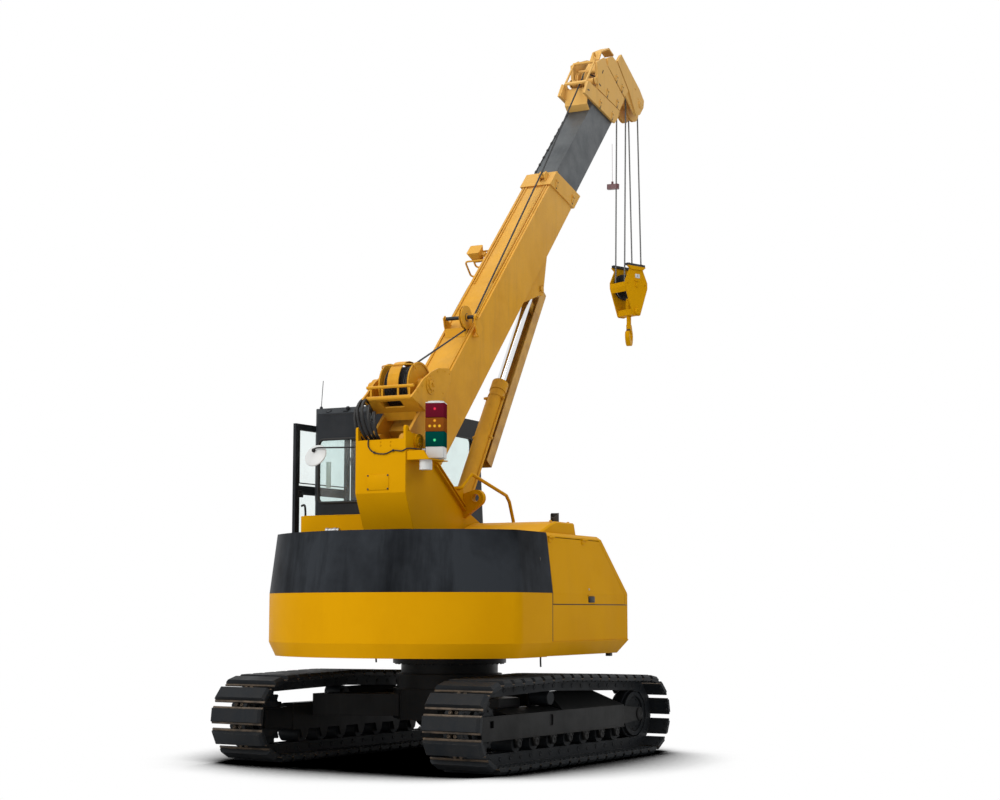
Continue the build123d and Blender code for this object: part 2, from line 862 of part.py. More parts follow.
def make_pedestal():
    """Boom foot tower: side plates with flanged edges, folded rear plate, bosses, ear and bracket."""
    outline = [
        (-1205, pedestal_foot_z), (-1360, 2470), (-1360, 3070), (-1347, 3084), (-1318, 3084), (-1280, 3031),
        (-1235, 3020), (-1050, 3020), (-900, 2880), (-824, 2804), (-450, 2554), (-383, 2584), (-297, 2592),
        (-235, 2561), (-174, 2500), (-150, 2365), (-98, 2339), (79, 2272), (pedestal_front_x, 2241),
        (pedestal_front_x, pedestal_foot_z),
    ]
    web_outer = web_inner_y + web_thickness
    with BuildPart() as tower:
        for side in (-1, 1):
            plate = span(side, web_inner_y, web_outer)
            side_plate(outline, *plate)
            cross_rod(foot_pin_x, foot_pin_z, 75, *span(side, web_outer, web_outer + 18))
            side_plate(
                [(-1165, 2860), (-1113, 2860), (-1080, 2900), (-1080, 2950), (-1139, 3020), (-1190, 2990)],
                *span(side, web_outer, web_outer + 8),
            )
            cross_rod(lashing_hole[0], lashing_hole[1], 14, *plate, mode=Mode.SUBTRACT)
            # Two flanges along the sloping front edge
            for drop in (0, 46):
                flange = [(-834, 2811 - drop), (-240, 2413 - drop), (-240, 2401 - drop), (-834, 2799 - drop)]
                side_plate(flange, *span(side, web_outer, web_outer + flange_width))
        cross_section(
            [(-web_inner_y, 2470), (web_inner_y, 2470), (web_inner_y, rear_plate_top),
            (-web_inner_y, rear_plate_top)],
            -1360, -1360 + web_thickness,
        )
        side_plate(
            [(-1205, pedestal_foot_z), (-1360, 2470), (-1360 + web_thickness, 2470),
             (-1205 + web_thickness, pedestal_foot_z)],
            -web_inner_y, web_inner_y,
        )
        cross_rod(foot_pin_x, foot_pin_z, foot_pin_radius, -web_inner_y, web_inner_y)
        # Cross ear with its hole, outside the right-hand plate
        ear_y, ear_z = ear_hole
        cross_section(
            [(-web_outer, 2290), (-335, 2333), (ear_y - 55, ear_z - 58), (ear_y, ear_z + 40),
            (ear_y + 20, ear_z + 77),
             (-web_outer, 2521)],
            *ear_x,
        )
        with BuildSketch(Plane.YZ.offset(ear_x[0])) as ring:
            with Locations(ear_hole):
                Circle(ear_radius)
        extrude(ring.sketch, amount=ear_x[1] - ear_x[0])
        with BuildSketch(Plane.YZ.offset(ear_x[0])) as bore:
            with Locations(ear_hole):
                Circle(ear_bore_radius)
        extrude(bore.sketch, amount=ear_x[1] - ear_x[0], mode=Mode.SUBTRACT)
        # Folded shelf for the signal lamps
        block(shelf_x[0], shelf_x[1], -shelf_reach, -web_outer, shelf_z, shelf_z + shelf_plate)
        cross_section(
            [(-shelf_reach, shelf_z), (-web_outer, shelf_z), (-web_outer, shelf_z + 85),
            (-shelf_reach + 60, shelf_z + 85)],
            shelf_x[0], shelf_x[0] + shelf_plate,
        )
        side_plate(
            [(shelf_x[0], shelf_z), (shelf_x[1], shelf_z), (shelf_x[1], shelf_z + 14),
            (shelf_x[0], shelf_z + 85)],
            -web_outer - shelf_plate, -web_outer,
        )
    return tower.part


def make_boom_base():
    """Base section of the boom: open box with foot lugs, slanted collar, edge strips and cylinder cheeks."""
    collar = [
        (collar_start, boom_top_h + collar_rise), (collar_start + collar_length, boom_top_h + collar_rise),
        (collar_start + collar_length + collar_slant, boom_bottom_h - collar_rise),
        (collar_start + collar_slant, boom_bottom_h - collar_rise),
    ]
    with BuildPart() as base:
        boom_box(boom_start_s, boom_end_s, boom_half_width, boom_bottom_h, boom_top_h)
        boom_box(
            boom_start_s + 20, boom_end_s + 10, boom_half_width - boom_wall,
            boom_bottom_h + boom_wall, boom_top_h - boom_wall, mode=Mode.SUBTRACT,
        )
        for side in (-1, 1):
            lug = [(-95, -70), (-70, 70), (40, 95), (520, 88), (600, -10), (870, -18),
                (900, boom_top_h - 20),
                   (900, boom_bottom_h + 60), (boom_start_s, boom_bottom_h + 60), (60, -110)]
            side_plate(lug, *span(side, boom_half_width, boom_half_width + lug_plate), boom_side)
            cross_rod(0, 0, 90, *span(side, 110, web_inner_y - 8), boom_side)
        cross_rod(0, 0, foot_pin_radius + running_gap, -web_inner_y, web_inner_y, boom_side,
            mode=Mode.SUBTRACT)
        side_plate(collar, -boom_half_width - collar_plate, boom_half_width + collar_plate, boom_side)
        boom_box(
            collar_start - 140, collar_start + collar_length + collar_slant + 40, fly_half_width + slide_gap,
            fly_bottom_h - slide_gap, fly_top_h + slide_gap, mode=Mode.SUBTRACT,
        )
        for side in (-1, 1):
            # Raised strips along the edges of the top face
            for start, inset in ((900, 25), (2600, 55)):
                side_plate(
                    [(start, boom_top_h), (collar_start, boom_top_h),
                    (collar_start, boom_top_h + strip_height),
                     (start, boom_top_h + strip_height)],
                    *span(side, boom_half_width - inset - 12, boom_half_width - inset), boom_side,
                )
            # Cheek for the cylinder eye, rounded about the pin
            cheek = [(2900, boom_bottom_h), (3970, boom_bottom_h), (3552, -826), (3414, -826)]
            plate = span(side, cheek_inner_y, cheek_inner_y + cheek_thickness)
            side_plate(cheek, *plate, boom_side)
            cross_rod(eye_s, eye_h, cheek_radius, *plate, boom_side)
            cross_rod(eye_s, eye_h, eye_pin_radius, *plate, boom_side, mode=Mode.SUBTRACT)
            # Bracket of the rope roller on top of the collar
            side_plate(
                [(collar_start + 60, boom_top_h + collar_rise),
                (collar_start + 200, boom_top_h + collar_rise),
                 (collar_start + 160, roller_h + 34), (collar_start + 100, roller_h + 34)],
                rope_line_y + side * 32 - 6, rope_line_y + side * 32 + 6, boom_side,
            )
        cross_rod(collar_start + 130, roller_h, 36, rope_line_y - 26, rope_line_y + 26, boom_side)
    return base.part


def make_fly():
    """Inner boom section, a plain box that slides in the base section."""
    wall = 14
    with BuildPart() as fly:
        boom_box(fly_start_s, fly_end_s, fly_half_width, fly_bottom_h, fly_top_h)
        boom_box(
            fly_start_s - 10, fly_end_s - 30, fly_half_width - wall, fly_bottom_h + wall, fly_top_h - wall,
            mode=Mode.SUBTRACT,
        )
    return fly.part


def make_wear_pads():
    """Slide pads in the collar that guide the inner section."""
    with BuildPart() as pads:
        for low_h, high_h in ((fly_bottom_h - 6, fly_bottom_h - running_gap),
            (fly_top_h + running_gap, fly_top_h + 6)):
            for side in (-1, 1):
                side_plate(
                    [(4480, low_h), (4640, low_h), (4640, high_h), (4480, high_h)],
                    *span(side, 60, 120), boom_side,
                )
    return pads.part


def make_head():
    """Boom head: an inner plate with stepped outer plates each side, cross tubes and a rope guard."""
    inner_plate = [
        (6030, 165), (6222, 205), (6405, -20), (6621, 226), (6850, 152), (6960, 92), (7093, 32), (7165, -84),
        (7352, -90), (7552, -700), (7575, -898), (7495, -924), (7316, -922), (7222, -868), (7140, -530),
        (6800, -550), (6552, -562),
    ]
    outer_plates = [
        [(6021, 170), (6225, 211), (6794, -548), (6690, -580), (6548, -568)],
        [(6621, 232), (6780, 185), (6854, 159), (6866, 32), (7043, -528), (6803, -545), (6414, -14)],
        [(6960, 98), (7093, 38), (7167, -80), (7224, -527), (7063, -509), (6880, 30)],
        [(7187, -79), (7357, -85), (7561, -698), (7584, -880), (7499, -930), (7330, -928), (7217, -870),
        (7240, -527)],
    ]
    face = head_inner_y + head_plate
    with BuildPart() as head:
        for side in (-1, 1):
            side_plate(inner_plate, *span(side, head_inner_y, face), boom_side)
            for number, outline in enumerate(outer_plates):
                side_plate(outline, *span(side, face, face + 18 + 4 * (number == 3)), boom_side)
            # Rope guard: side rails between the rear channel and the top bar
            side_plate(
                [(6215, 178), (6235, 208), (6640, 244), (6640, 226), (6260, 190), (6260, 178)],
                *span(side, head_inner_y - 18, head_inner_y), boom_side,
            )
        cross_rod(6640, 235, 16, -head_inner_y, head_inner_y, boom_side)
        side_plate(
            [(6205, 120), (6222, 208), (6262, 208), (6262, 190), (6236, 190), (6222, 120)],
            -head_inner_y, head_inner_y, boom_side,
        )
        side_plate([(6190, 132), (6240, 132), (6240, 188), (6190, 188)], -110, 110, boom_side, Mode.SUBTRACT)
        side_plate(
            [(6205, 128), (6050, 10), (6060, fly_top_h), (6072, fly_top_h), (6068, 6), (6222, 120)],
            -head_inner_y, head_inner_y, boom_side,
        )
        for s, h, radius in ((6700, 80, 30), (7060, -60, 30)):
            cross_rod(s, h, radius, -head_inner_y, head_inner_y, boom_side)
        cross_rod(head_axle_x, head_axle_z, head_axle_radius, -head_inner_y, head_inner_y)
        cross_rod(guide_s, guide_h, head_axle_radius, -head_inner_y, head_inner_y, boom_side)
        # Cover strap and lifting loop over the top
        side_plate(
            [(6940, 104), (7090, 132), (7330, 40), (7400, -96), (7380, -104), (7314, 26), (7090, 114),
            (6946, 86)],
            -60, 60, boom_side,
        )
        side_plate(
            [(6800, 104), (6970, 186), (7010, 176), (7010, 110), (6996, 110), (6996, 164), (6972, 170),
            (6806, 90)],
            -8, 8, boom_side,
        )
        side_plate([(6690, 100), (6960, 96), (6960, 84), (6690, 60)], -60, 60, boom_side)
    return head.part


def sheave(x, y, z, pitch_radius, bore, side=Plane.XZ):
    """A grooved sheave on a cross axle, its groove under the rope's centre line."""
    half = sheave_half_width
    cross_rod(x, z, pitch_radius - rope_radius - running_gap, y - half, y + half, side)
    for low_y, high_y in ((y - half, y - sheave_groove / 2), (y + sheave_groove / 2, y + half)):
        cross_rod(x, z, pitch_radius + sheave_rim, low_y, high_y, side)
    cross_rod(x, z, bore, y - half, y + half, side, Mode.SUBTRACT)


def make_head_sheaves():
    """Sheaves in the boom head: two that carry the falls and two for the rope off the boom top."""
    with BuildPart() as sheaves:
        for y in head_rope_y:
            sheave(head_axle_x, y, head_axle_z, head_sheave_radius, head_axle_radius + running_gap)
        for y in (-40, 40):
            sheave(guide_s, y, guide_h, guide_sheave_radius, head_axle_radius + running_gap, boom_side)
    return sheaves.part


def arc_point(centre, radius, turn):
    """A point on an arc, its turn counted from straight up towards the boom foot."""
    return centre[0] - radius * sin(radians(turn)), centre[1] + radius * cos(radians(turn))


def make_winch_frame():
    """Winch cradle: two side plates, cage bars over the drum and the sloping rear tray."""
    outline = [
        (201, 376), (311, 361), (500, 345), (679, 291), (802, 232), (950, 110), (977, 53), (900, -10),
        (803, -18),
        (647, -23), (315, 107), (294, 183),
    ]
    drum_s, drum_h = drum_place
    inner = winch_plate_y - winch_plate
    with BuildPart() as frame:
        for side in (-1, 1):
            plate = span(side, inner, winch_plate_y)
            side_plate(outline, *plate, boom_side)
            cross_rod(drum_s, drum_h, 84, *span(side, winch_plate_y, winch_plate_y + 9), boom_side)
            cross_rod(drum_s, drum_h, 40, *span(side, inner, winch_plate_y + 9), boom_side,
                mode=Mode.SUBTRACT)
            side_plate(
                [(640, -60), (860, -60), (860, -16), (640, -16)],
                *span(side, boom_half_width + lug_plate, inner), boom_side,
            )
        for s, h, radius in ((264, 330, 22), (337, 405, 15), (802, 180, 12)):
            cross_rod(s, h, radius, -inner, inner, boom_side)
        for y in (-205, -85, 85, 205):
            side_plate([(254, 326), (327, 401), (347, 409), (274, 334)], y - 9, y + 9, boom_side)
        # Cover strap over the drum
        inside = [arc_point(drum_place, strap_radius, turn) for turn in range(-100, 51, 15)]
        outside = [arc_point(drum_place, strap_radius + strap_plate, turn) for turn in range(50, -101, -15)]
        side_plate(inside + outside, -60, 60, boom_side)
        side_plate([(330, 400), (344, 408), (382, 374), (368, 364)], -60, 60, boom_side)
        # Rear tray with its window
        tray = [(252, 318), (266, 322), (322, 120), (308, 114)]
        side_plate(tray, -inner, inner, boom_side)
        side_plate([(240, 290), (290, 300), (318, 205), (268, 190)], -95, 120, boom_side, Mode.SUBTRACT)
        side_plate([(306, 120), (322, 120), (300, 40), (286, 40)], -boom_half_width, boom_half_width,
            boom_side)
    return frame.part


def make_winch_drum():
    """Rope drum with rimmed flanges, full of rope, and a motor at its left end."""
    s, h = drum_place
    with BuildPart() as drum:
        cross_rod(s, h, 165, -drum_half_width, drum_half_width, boom_side)
        for side in (-1, 1):
            cross_rod(s, h, drum_flange_radius, *span(side, drum_half_width, drum_half_width + 16),
                boom_side)
            cross_rod(
                s, h, drum_flange_radius - 18, *span(side, drum_half_width + 8, drum_half_width + 16),
                boom_side,
                mode=Mode.SUBTRACT,
            )
            cross_rod(s, h, 70, *span(side, drum_half_width, winch_plate_y - winch_plate - 1), boom_side)
        cross_rod(s, h, 38, -winch_plate_y, winch_plate_y, boom_side)
        cross_rod(s, h, 38, winch_plate_y, winch_plate_y + 12, boom_side)
        cross_rod(s, h, 92, winch_plate_y + 9.3, winch_plate_y + 60, boom_side)
        cross_rod(s, h, 66, winch_plate_y + 60, winch_plate_y + 105, boom_side)
    return drum.part


def make_rope_guide():
    """Guide sheave on a shaft across the boom top, between two brackets on a folded base."""
    s, h = guide_shaft
    low_y, high_y = -232, 112
    with BuildPart() as guide:
        side_plate(
            [(s - 95, boom_top_h), (s + 60, boom_top_h), (s + 22, h + 26), (s - 22, h + 26),
            (s - 60, h - 40)],
            high_y, high_y + 12, boom_side,
        )
        side_plate(
            [(s - 95, boom_top_h - 60), (s + 40, boom_top_h - 60), (s + 30, h + 8), (s + 16, h + 26),
            (s - 16, h + 26),
             (s - 34, h + 4), (s - 95, boom_top_h - 10)],
            low_y, low_y + 12, boom_side,
        )
        side_plate(
            [(s - 95, boom_top_h - 60), (s + 40, boom_top_h - 60), (s + 40, boom_top_h - 44),
            (s - 95, boom_top_h - 44)],
            low_y + 12, -boom_half_width, boom_side,
        )
        side_plate(
            [(s - 150, boom_top_h), (s - 95, boom_top_h), (s - 60, boom_top_h + 50),
            (s - 70, boom_top_h + 56)],
            -130, high_y, boom_side,
        )
        cross_rod(s, h, 14, low_y + 12, high_y, boom_side)
        cross_rod(s, h, 30, low_y - 16, low_y, boom_side)
        sheave_y = guide_disc_y
        cross_rod(s, h, 102, sheave_y - 9, sheave_y + 9, boom_side)
        for face in (sheave_y - 15, sheave_y + 9):
            cross_rod(s, h, guide_disc_radius, face, face + 6, boom_side)
        cross_rod(s, h, 34, sheave_y - 24, sheave_y + 24, boom_side)
    return guide.part


def boom_plane_at(height):
    """A plane along the boom at a height over its pin line: X along it, Y to the left."""
    return Plane(
        origin=boom_side.from_local_coords((0, height, 0)),
        x_dir=boom_side.x_dir, z_dir=boom_side.y_dir,
    )


def make_boom_lamp():
    """Work lamp on the left of the boom with its two tube guards."""
    wall = boom_half_width
    with BuildPart() as lamp:
        for s in (3060, 3230):
            corners = [(s, -70, wall), (s, -70, wall + 220), (s, -266, wall + 220), (s, -266, wall)]
            points = [boom_side.from_local_coords((a, b, -c)) for a, b, c in corners]
            round_bar(points, 34, 10)
        with BuildSketch(boom_plane_at(-120)) as foot:
            with Locations((3145, wall + 105)):
                RectangleRounded(90, 90, 12)
        with BuildSketch(boom_plane_at(20)) as rim:
            with Locations((3145, wall + 105)):
                RectangleRounded(150, 150, 16)
        loft([foot.sketch, rim.sketch])
        side_plate([(3120, -70), (3170, -70), (3170, -40), (3120, -40)], wall, wall + 60, boom_side)
    return lamp.part


def make_lift_tube():
    """Cylinder tube with its base eye, gland cap, pipe band and two pipes."""
    with BuildPart() as tube:
        with BuildSketch(cylinder_axis.offset(100)) as bore:
            Circle(tube_radius)
            Circle(tube_radius - 14, mode=Mode.SUBTRACT)
        extrude(bore.sketch, amount=tube_length - 100)
        with BuildSketch(cylinder_axis.offset(60)) as foot:
            Circle(tube_radius)
        extrude(foot.sketch, amount=60)
        cross_rod(0, 0, 90, -100, 100, cylinder_side)
        cross_rod(0, 0, cylinder_pin_radius + running_gap, -110, 110, cylinder_side, mode=Mode.SUBTRACT)
        with BuildSketch(cylinder_axis.offset(tube_length - gland_length)) as gland:
            Circle(tube_radius + gland_step)
            Circle(rod_radius + running_gap, mode=Mode.SUBTRACT)
        extrude(gland.sketch, amount=gland_length)
        with BuildSketch(cylinder_axis.offset(tube_length - gland_length - 90)) as band:
            Circle(tube_radius + 5)
            Circle(tube_radius - 1, mode=Mode.SUBTRACT)
        extrude(band.sketch, amount=24)
        for side in (-1, 1):
            with BuildSketch(cylinder_axis.offset(300)) as pipe:
                with Locations((side * (tube_radius + 11), 0)):
                    Circle(12)
            extrude(pipe.sketch, amount=tube_length - gland_length - 390)
    return tube.part


def make_lift_rod():
    """Cylinder rod with its eye and the channel guard that travels with it."""
    with BuildPart() as rod:
        with BuildSketch(cylinder_axis.offset(cylinder_length - rod_length)) as bar:
            Circle(rod_radius)
        extrude(bar.sketch, amount=rod_length)
        eye_half = cheek_inner_y - cheek_clearance
        cross_rod(cylinder_length, 0, rod_radius, -eye_half, eye_half, cylinder_side)
        cross_rod(cylinder_length, 0, 26, -eye_half, eye_half, cylinder_side, mode=Mode.SUBTRACT)
        guard_start = cylinder_length - guard_length
        guard_end = cylinder_length + guard_over_eye
        guard = [(guard_start, -guard_far), (guard_end, -guard_far), (guard_end, -guard_near),
            (guard_start, -guard_near)]
        side_plate(guard, -guard_half_width, guard_half_width, cylinder_side)
        channel = [
            (guard_start - 5, -guard_far + guard_wall), (guard_end + 5, -guard_far + guard_wall),
            (guard_end + 5, -guard_near + 5), (guard_start - 5, -guard_near + 5),
        ]
        side_plate(
            channel, -guard_half_width + guard_wall, guard_half_width - guard_wall, cylinder_side,
            Mode.SUBTRACT,
        )
        side_plate(
            [(cylinder_length - 200, -guard_far + guard_wall),
            (cylinder_length - 120, -guard_far + guard_wall),
             (cylinder_length - 120, -rod_radius + 12), (cylinder_length - 200, -rod_radius + 12)],
            -20, 20, cylinder_side,
        )
    return rod.part


def fall_ends(number):
    """Upper and lower end of one fall of the hoist rope."""
    along = (-1, 1)[number % 2]
    across = (-1, 1)[number // 2]
    top = Vector(
        head_axle_x + along * head_sheave_radius, head_rope_y[number // 2], head_axle_z,
    )
    turn = radians(block_turn)
    local_x = along * block_sheave_radius
    local_y = across * block_sheave_y
    low = Vector(
        block_x + local_x * cos(turn) - local_y * sin(turn), local_x * sin(turn) + local_y * cos(turn),
        block_axle_z,
    )
    return top, low


def make_ropes():
    """The four falls of the hoist rope between head and hook block."""
    with BuildPart() as ropes:
        for number in range(4):
            top, low = fall_ends(number)
            with BuildSketch(Plane(origin=low, z_dir=top - low)) as fall:
                Circle(rope_radius)
            extrude(fall.sketch, amount=(top - low).length)
    return ropes.part


def make_limit_weight():
    """Hoist-limit weight: a collar round one fall, under a short stem on its wire."""
    top, low = fall_ends(2)
    fall = top - low
    place = low + fall * ((limit_weight_z - low.Z) / fall.Z)
    with BuildPart() as weight:
        with BuildSketch(Plane(origin=place, x_dir=Vector(0, 1, 0).cross(fall), z_dir=fall)):
            with Locations((0, 42)):
                RectangleRounded(70, 150, 20)
            Circle(rope_radius + running_gap, mode=Mode.SUBTRACT)
        extrude(amount=limit_weight_height)
        stem_z = limit_weight_z + limit_weight_height
        with Locations((place.X, place.Y + 50, stem_z + 17)):
            Cylinder(14, 40)
        with Locations((place.X, place.Y + 50, stem_z + 37 + limit_wire_length / 2)):
            Cylinder(2, limit_wire_length)
    return weight.part


def make_hook_block():
    """Hook block: two six-sided cheeks, crosspieces, sheave pin and a lower trunnion with its nut."""
    middle = block_x
    cheek = [
        (middle - 100, block_top), (middle - cheek_half, 5420), (middle - cheek_half, 5350),
        (middle - 62, 5010),
        (middle - 40, block_bottom), (middle + 40, block_bottom), (middle + 62, 5010),
        (middle + cheek_half, 5350),
        (middle + cheek_half, 5420), (middle + 100, block_top),
    ]
    inner = block_sheave_y + sheave_half_width + block_clearance
    with BuildPart() as hook_block:
        for side in (-1, 1):
            side_plate(cheek, *span(side, inner, inner + block_cheek))
            cross_rod(middle, 5052, 42, *span(side, inner + block_cheek, inner + block_cheek + 14))
            cross_rod(middle, block_axle_z, 26, *span(side, inner + block_cheek, inner + block_cheek + 8))
        # Crosspieces on both sloping edges, below the sheaves
        for side in (-1, 1):
            outline = [(0, 5405), (-12, 5405), (-12, 5350), (-34, 5290), (-22, 5290), (0, 5350)]
            side_plate([(middle + side * (cheek_half + x), z) for x, z in outline], -inner, inner)
        cross_rod(middle, block_axle_z, block_pin_radius, -inner, inner)
        block(middle - 62, middle + 62, -inner, inner, block_bottom + 10, block_bottom + 86)
        with Locations((middle, 0, block_bottom + 86 + 55)):
            Cylinder(37, 110)
        # Flared tops that carry the buffer plates
        for side in (-1, 1):
            side_plate(
                [(middle - 100, block_top - 30), (middle + 100, block_top - 30),
                (middle + buffer_half, block_top + 8),
                 (middle + buffer_half, block_top + 14), (middle - buffer_half, block_top + 14),
                 (middle - buffer_half, block_top + 8)],
                *span(side, inner, inner + block_cheek + 14),
            )
    return hook_block.part.rotate(block_axis, block_turn)


def make_block_guards():
    """Black buffer plates on top of the hook block, one beside each sheave."""
    inner = block_sheave_y + sheave_half_width + block_clearance
    with BuildPart() as guards:
        for side in (-1, 1):
            side_plate(
                [(block_x - buffer_half, block_top + 14), (block_x + buffer_half, block_top + 14),
                 (block_x + buffer_half, block_top + 44), (block_x - buffer_half, block_top + 44)],
                *span(side, buffer_inner_y, inner + block_cheek + 4),
            )
    return guards.part.rotate(block_axis, block_turn)


def make_block_sheaves():
    """Sheaves of the hook block."""
    with BuildPart() as sheaves:
        for side in (-1, 1):
            sheave(block_x, side * block_sheave_y, block_axle_z, block_sheave_radius,
                block_pin_radius + running_gap)
    return sheaves.part.rotate(block_axis, block_turn)


def make_hook():
    """Forged hook: round shank, tapering neck and a bow with its point, open to one side."""
    x, z = block_x, hook_centre_z
    with BuildPart() as hook:
        with BuildSketch(Plane.XY.offset(z + 90)) as shank:
            with Locations((x, 0)):
                Circle(hook_shank_radius)
        extrude(shank.sketch, amount=block_bottom + 10 - running_gap - z - 90)
        with BuildSketch(Plane.XZ.offset(-hook_thickness / 2)) as bow:
            with BuildLine():
                Polyline((x - 30, z + 140), (x + 30, z + 140), (x + 62, z + 95))
                ThreePointArc((x + 62, z + 95), (x + 116, z - 10), (x + 74, z - 88))
                ThreePointArc((x + 74, z - 88), (x, z - 122), (x - 74, z - 88))
                ThreePointArc((x - 74, z - 88), (x - 112, z - 30), (x - 104, z + 38))
                Polyline((x - 104, z + 38), (x - 84, z + 58), (x - 52, z + 19))
                ThreePointArc((x - 52, z + 19), (x, z - hook_throat), (x + hook_throat, z))
                ThreePointArc((x + hook_throat, z), (x + 30, z + 46), (x - 22, z + 62))
                Polyline((x - 22, z + 62), (x - 30, z + 140))
            make_face()
        extrude(bow.sketch, amount=hook_thickness)
        rims = [
            edge for edge in hook.edges()
            if edge.center().Z < z + 60 and abs(abs(edge.center().Y) - hook_thickness / 2) < 0.5
            and abs(edge.center().X - x) > 40
        ]
        chamfer(rims, 9)
    return hook.part.rotate(block_axis, hook_turn)


def cab_outline(inset=0):
    """Side view of the cab, its front leaning back."""
    return [
        (cab_rear_x + inset, cab_floor_z + inset), (cab_front_floor_x - inset, cab_floor_z + inset),
        (cab_front_roof_x - inset, cab_roof_z - inset), (cab_rear_x + 60 + inset, cab_roof_z - inset),
        (cab_rear_x + inset, cab_roof_z - 60 - inset),
    ]


def rounded_hole(plane, low_u, high_u, low_v, high_v, depth, mode=Mode.ADD):
    """A rounded window, as a hole or as its pane."""
    with BuildSketch(plane) as window:
        with Locations(((low_u + high_u) / 2, (low_v + high_v) / 2)):
            RectangleRounded(high_u - low_u, high_v - low_v, window_corner)
    extrude(window.sketch, amount=depth, mode=mode)


def make_cab():
    """Cab shell with rounded rear corners, rounded windows and the doorway cut out."""
    with BuildPart() as cab:
        side_plate(cab_outline(), cab_right_y, cab_left_y)
        corners = [
            edge for edge in cab.edges()
            if edge.center().X < cab_rear_x + 70
            and abs(edge.center().Z - (cab_floor_z + cab_roof_z) / 2) < 200
        ]
        fillet(corners, cab_corner)
        side_plate(cab_outline(cab_wall), cab_right_y + cab_wall, cab_left_y - cab_wall, mode=Mode.SUBTRACT)
        low_y, high_y, low_z, high_z = rear_window
        rounded_hole(Plane.YZ.offset(cab_rear_x - 10), low_y, high_y, low_z, high_z, cab_wall + 20,
            Mode.SUBTRACT)
        for low_x, high_x in side_window:
            rounded_hole(
                Plane.XZ.offset(-(cab_right_y + cab_wall + 10)), low_x, high_x, *pane_height, cab_wall + 20,
                Mode.SUBTRACT,
            )
        rounded_hole(
            Plane.XZ.offset(-(cab_left_y + 10)), side_window[0][0], door_hinge_x - 80, *pane_height,
            cab_wall + 20,
            Mode.SUBTRACT,
        )
        low_x, high_x, low_z, high_z = door_hole
        block(low_x, high_x, cab_left_y - cab_wall - 10, cab_left_y + 10, low_z, high_z, mode=Mode.SUBTRACT)
        block(1300, 1600, cab_right_y + 70, cab_left_y - 70, cab_floor_z + 260, cab_roof_z - 110,
            mode=Mode.SUBTRACT)
        # Door hinge brackets
        for z in (2000, 2900):
            block(door_hinge_x - 20, door_hinge_x + 4, cab_left_y, cab_left_y + door_hinge_out, z, z + 40)
            with Locations((door_hinge_x, cab_left_y + door_hinge_out, z + 20)):
                Cylinder(14, 40)
    return cab.part


def make_cab_glass():
    """Fixed panes of the cab."""
    with BuildPart() as glass:
        rounded_hole(Plane.YZ.offset(cab_rear_x + 12), *rear_window, pane_thickness)
        for low_x, high_x in side_window:
            rounded_hole(Plane.XZ.offset(-(cab_right_y + 20)), low_x, high_x, *pane_height, pane_thickness)
        rounded_hole(
            Plane.XZ.offset(-(cab_left_y - 12)), side_window[0][0], door_hinge_x - 80, *pane_height,
            pane_thickness,
        )
        lean = (cab_front_floor_x - cab_front_roof_x) / (cab_roof_z - cab_floor_z)
        low, high = cab_floor_z + 260, cab_roof_z - 110
        front_low = cab_front_floor_x - lean * 260
        front_high = cab_front_roof_x + lean * 110
        side_plate(
            [(front_low - 20, low), (front_low - 12, low), (front_high - 12, high), (front_high - 20, high)],
            cab_right_y + 70, cab_left_y - 70,
        )
    return glass.part


def make_seat():
    """Operator's seat on its pedestal."""
    middle = (cab_right_y + cab_left_y) / 2
    floor = cab_floor_z + cab_wall
    with BuildPart() as seat:
        block(150, 560, middle - 200, middle + 200, floor, floor + 330)
        block(100, 620, middle - 245, middle + 245, floor + 330, floor + 450)
        side_plate(
            [(110, floor + 450), (230, floor + 450), (110, floor + 1080), (10, floor + 1080)],
            middle - 230, middle + 230,
        )
    return seat.part


def make_cab_door(glass):
    """Cab door, modelled shut and swung open to its catch; either the frame or its panes."""
    low_y = cab_left_y + 9
    high_y = low_y + 34
    low_x = door_hinge_x + 18
    high_x = low_x + door_length
    low_z, high_z = cab_floor_z + 50, cab_roof_z - 150
    rail_z = low_z + 0.58 * (high_z - low_z)
    panes = ((rail_z + 40, high_z - 60), (low_z + 240, rail_z - 40))
    with BuildPart() as door:
        if glass:
            for low, high in panes:
                block(low_x + 60, high_x - 60, low_y + 12, low_y + 20, low, high)
        else:
            block(low_x, high_x, low_y, high_y, low_z, high_z)
            for low, high in panes:
                block(low_x + 60, high_x - 60, low_y - 5, high_y + 5, low, high, mode=Mode.SUBTRACT)
            for z in (2040.3, 2940.3):
                block(door_hinge_x + 6, low_x + 4, low_y + 14, low_y + 32, z, z + 40)
                with Locations((door_hinge_x, cab_left_y + door_hinge_out, z + 20)):
                    Cylinder(14, 40)
    hinge = Axis((door_hinge_x, cab_left_y + door_hinge_out, 0), (0, 0, 1))
    return door.part.rotate(hinge, door_open_angle)


def make_cab_base():
    """Left-hand bodywork under the cab, and the low box behind it."""
    with BuildPart() as base:
        block(seam_x + 12, body_front_x, bay_inner_y, half_width - bay_inset, deck_plate_top, cab_floor_z)
        upright = [
            edge for edge in base.edges().filter_by(Axis.Z)
            if edge.center().X > body_front_x - 1 and edge.center().Y > 0
        ]
        fillet(upright, 60)
        block(cab_rear_x - 282, cab_rear_x - 20, bay_inner_y + 20, half_width - 90, band_top, band_top + 195)
    return base.part


def make_handrail():
    """Bent tube rail from the boom foot tower down to the deck."""
    web_outer = web_inner_y + web_thickness
    y = rail_y
    with BuildPart() as rail:
        round_bar(
            [(-380, -web_outer - running_gap, 2562), (-380, y, 2562), (-155, y, 2714), (598, y, 2550),
             (668, y, 2490), (760, y, 2300), (760, y, bonnet_top + running_gap)],
            22, rail_radius,
        )
    return rail.part


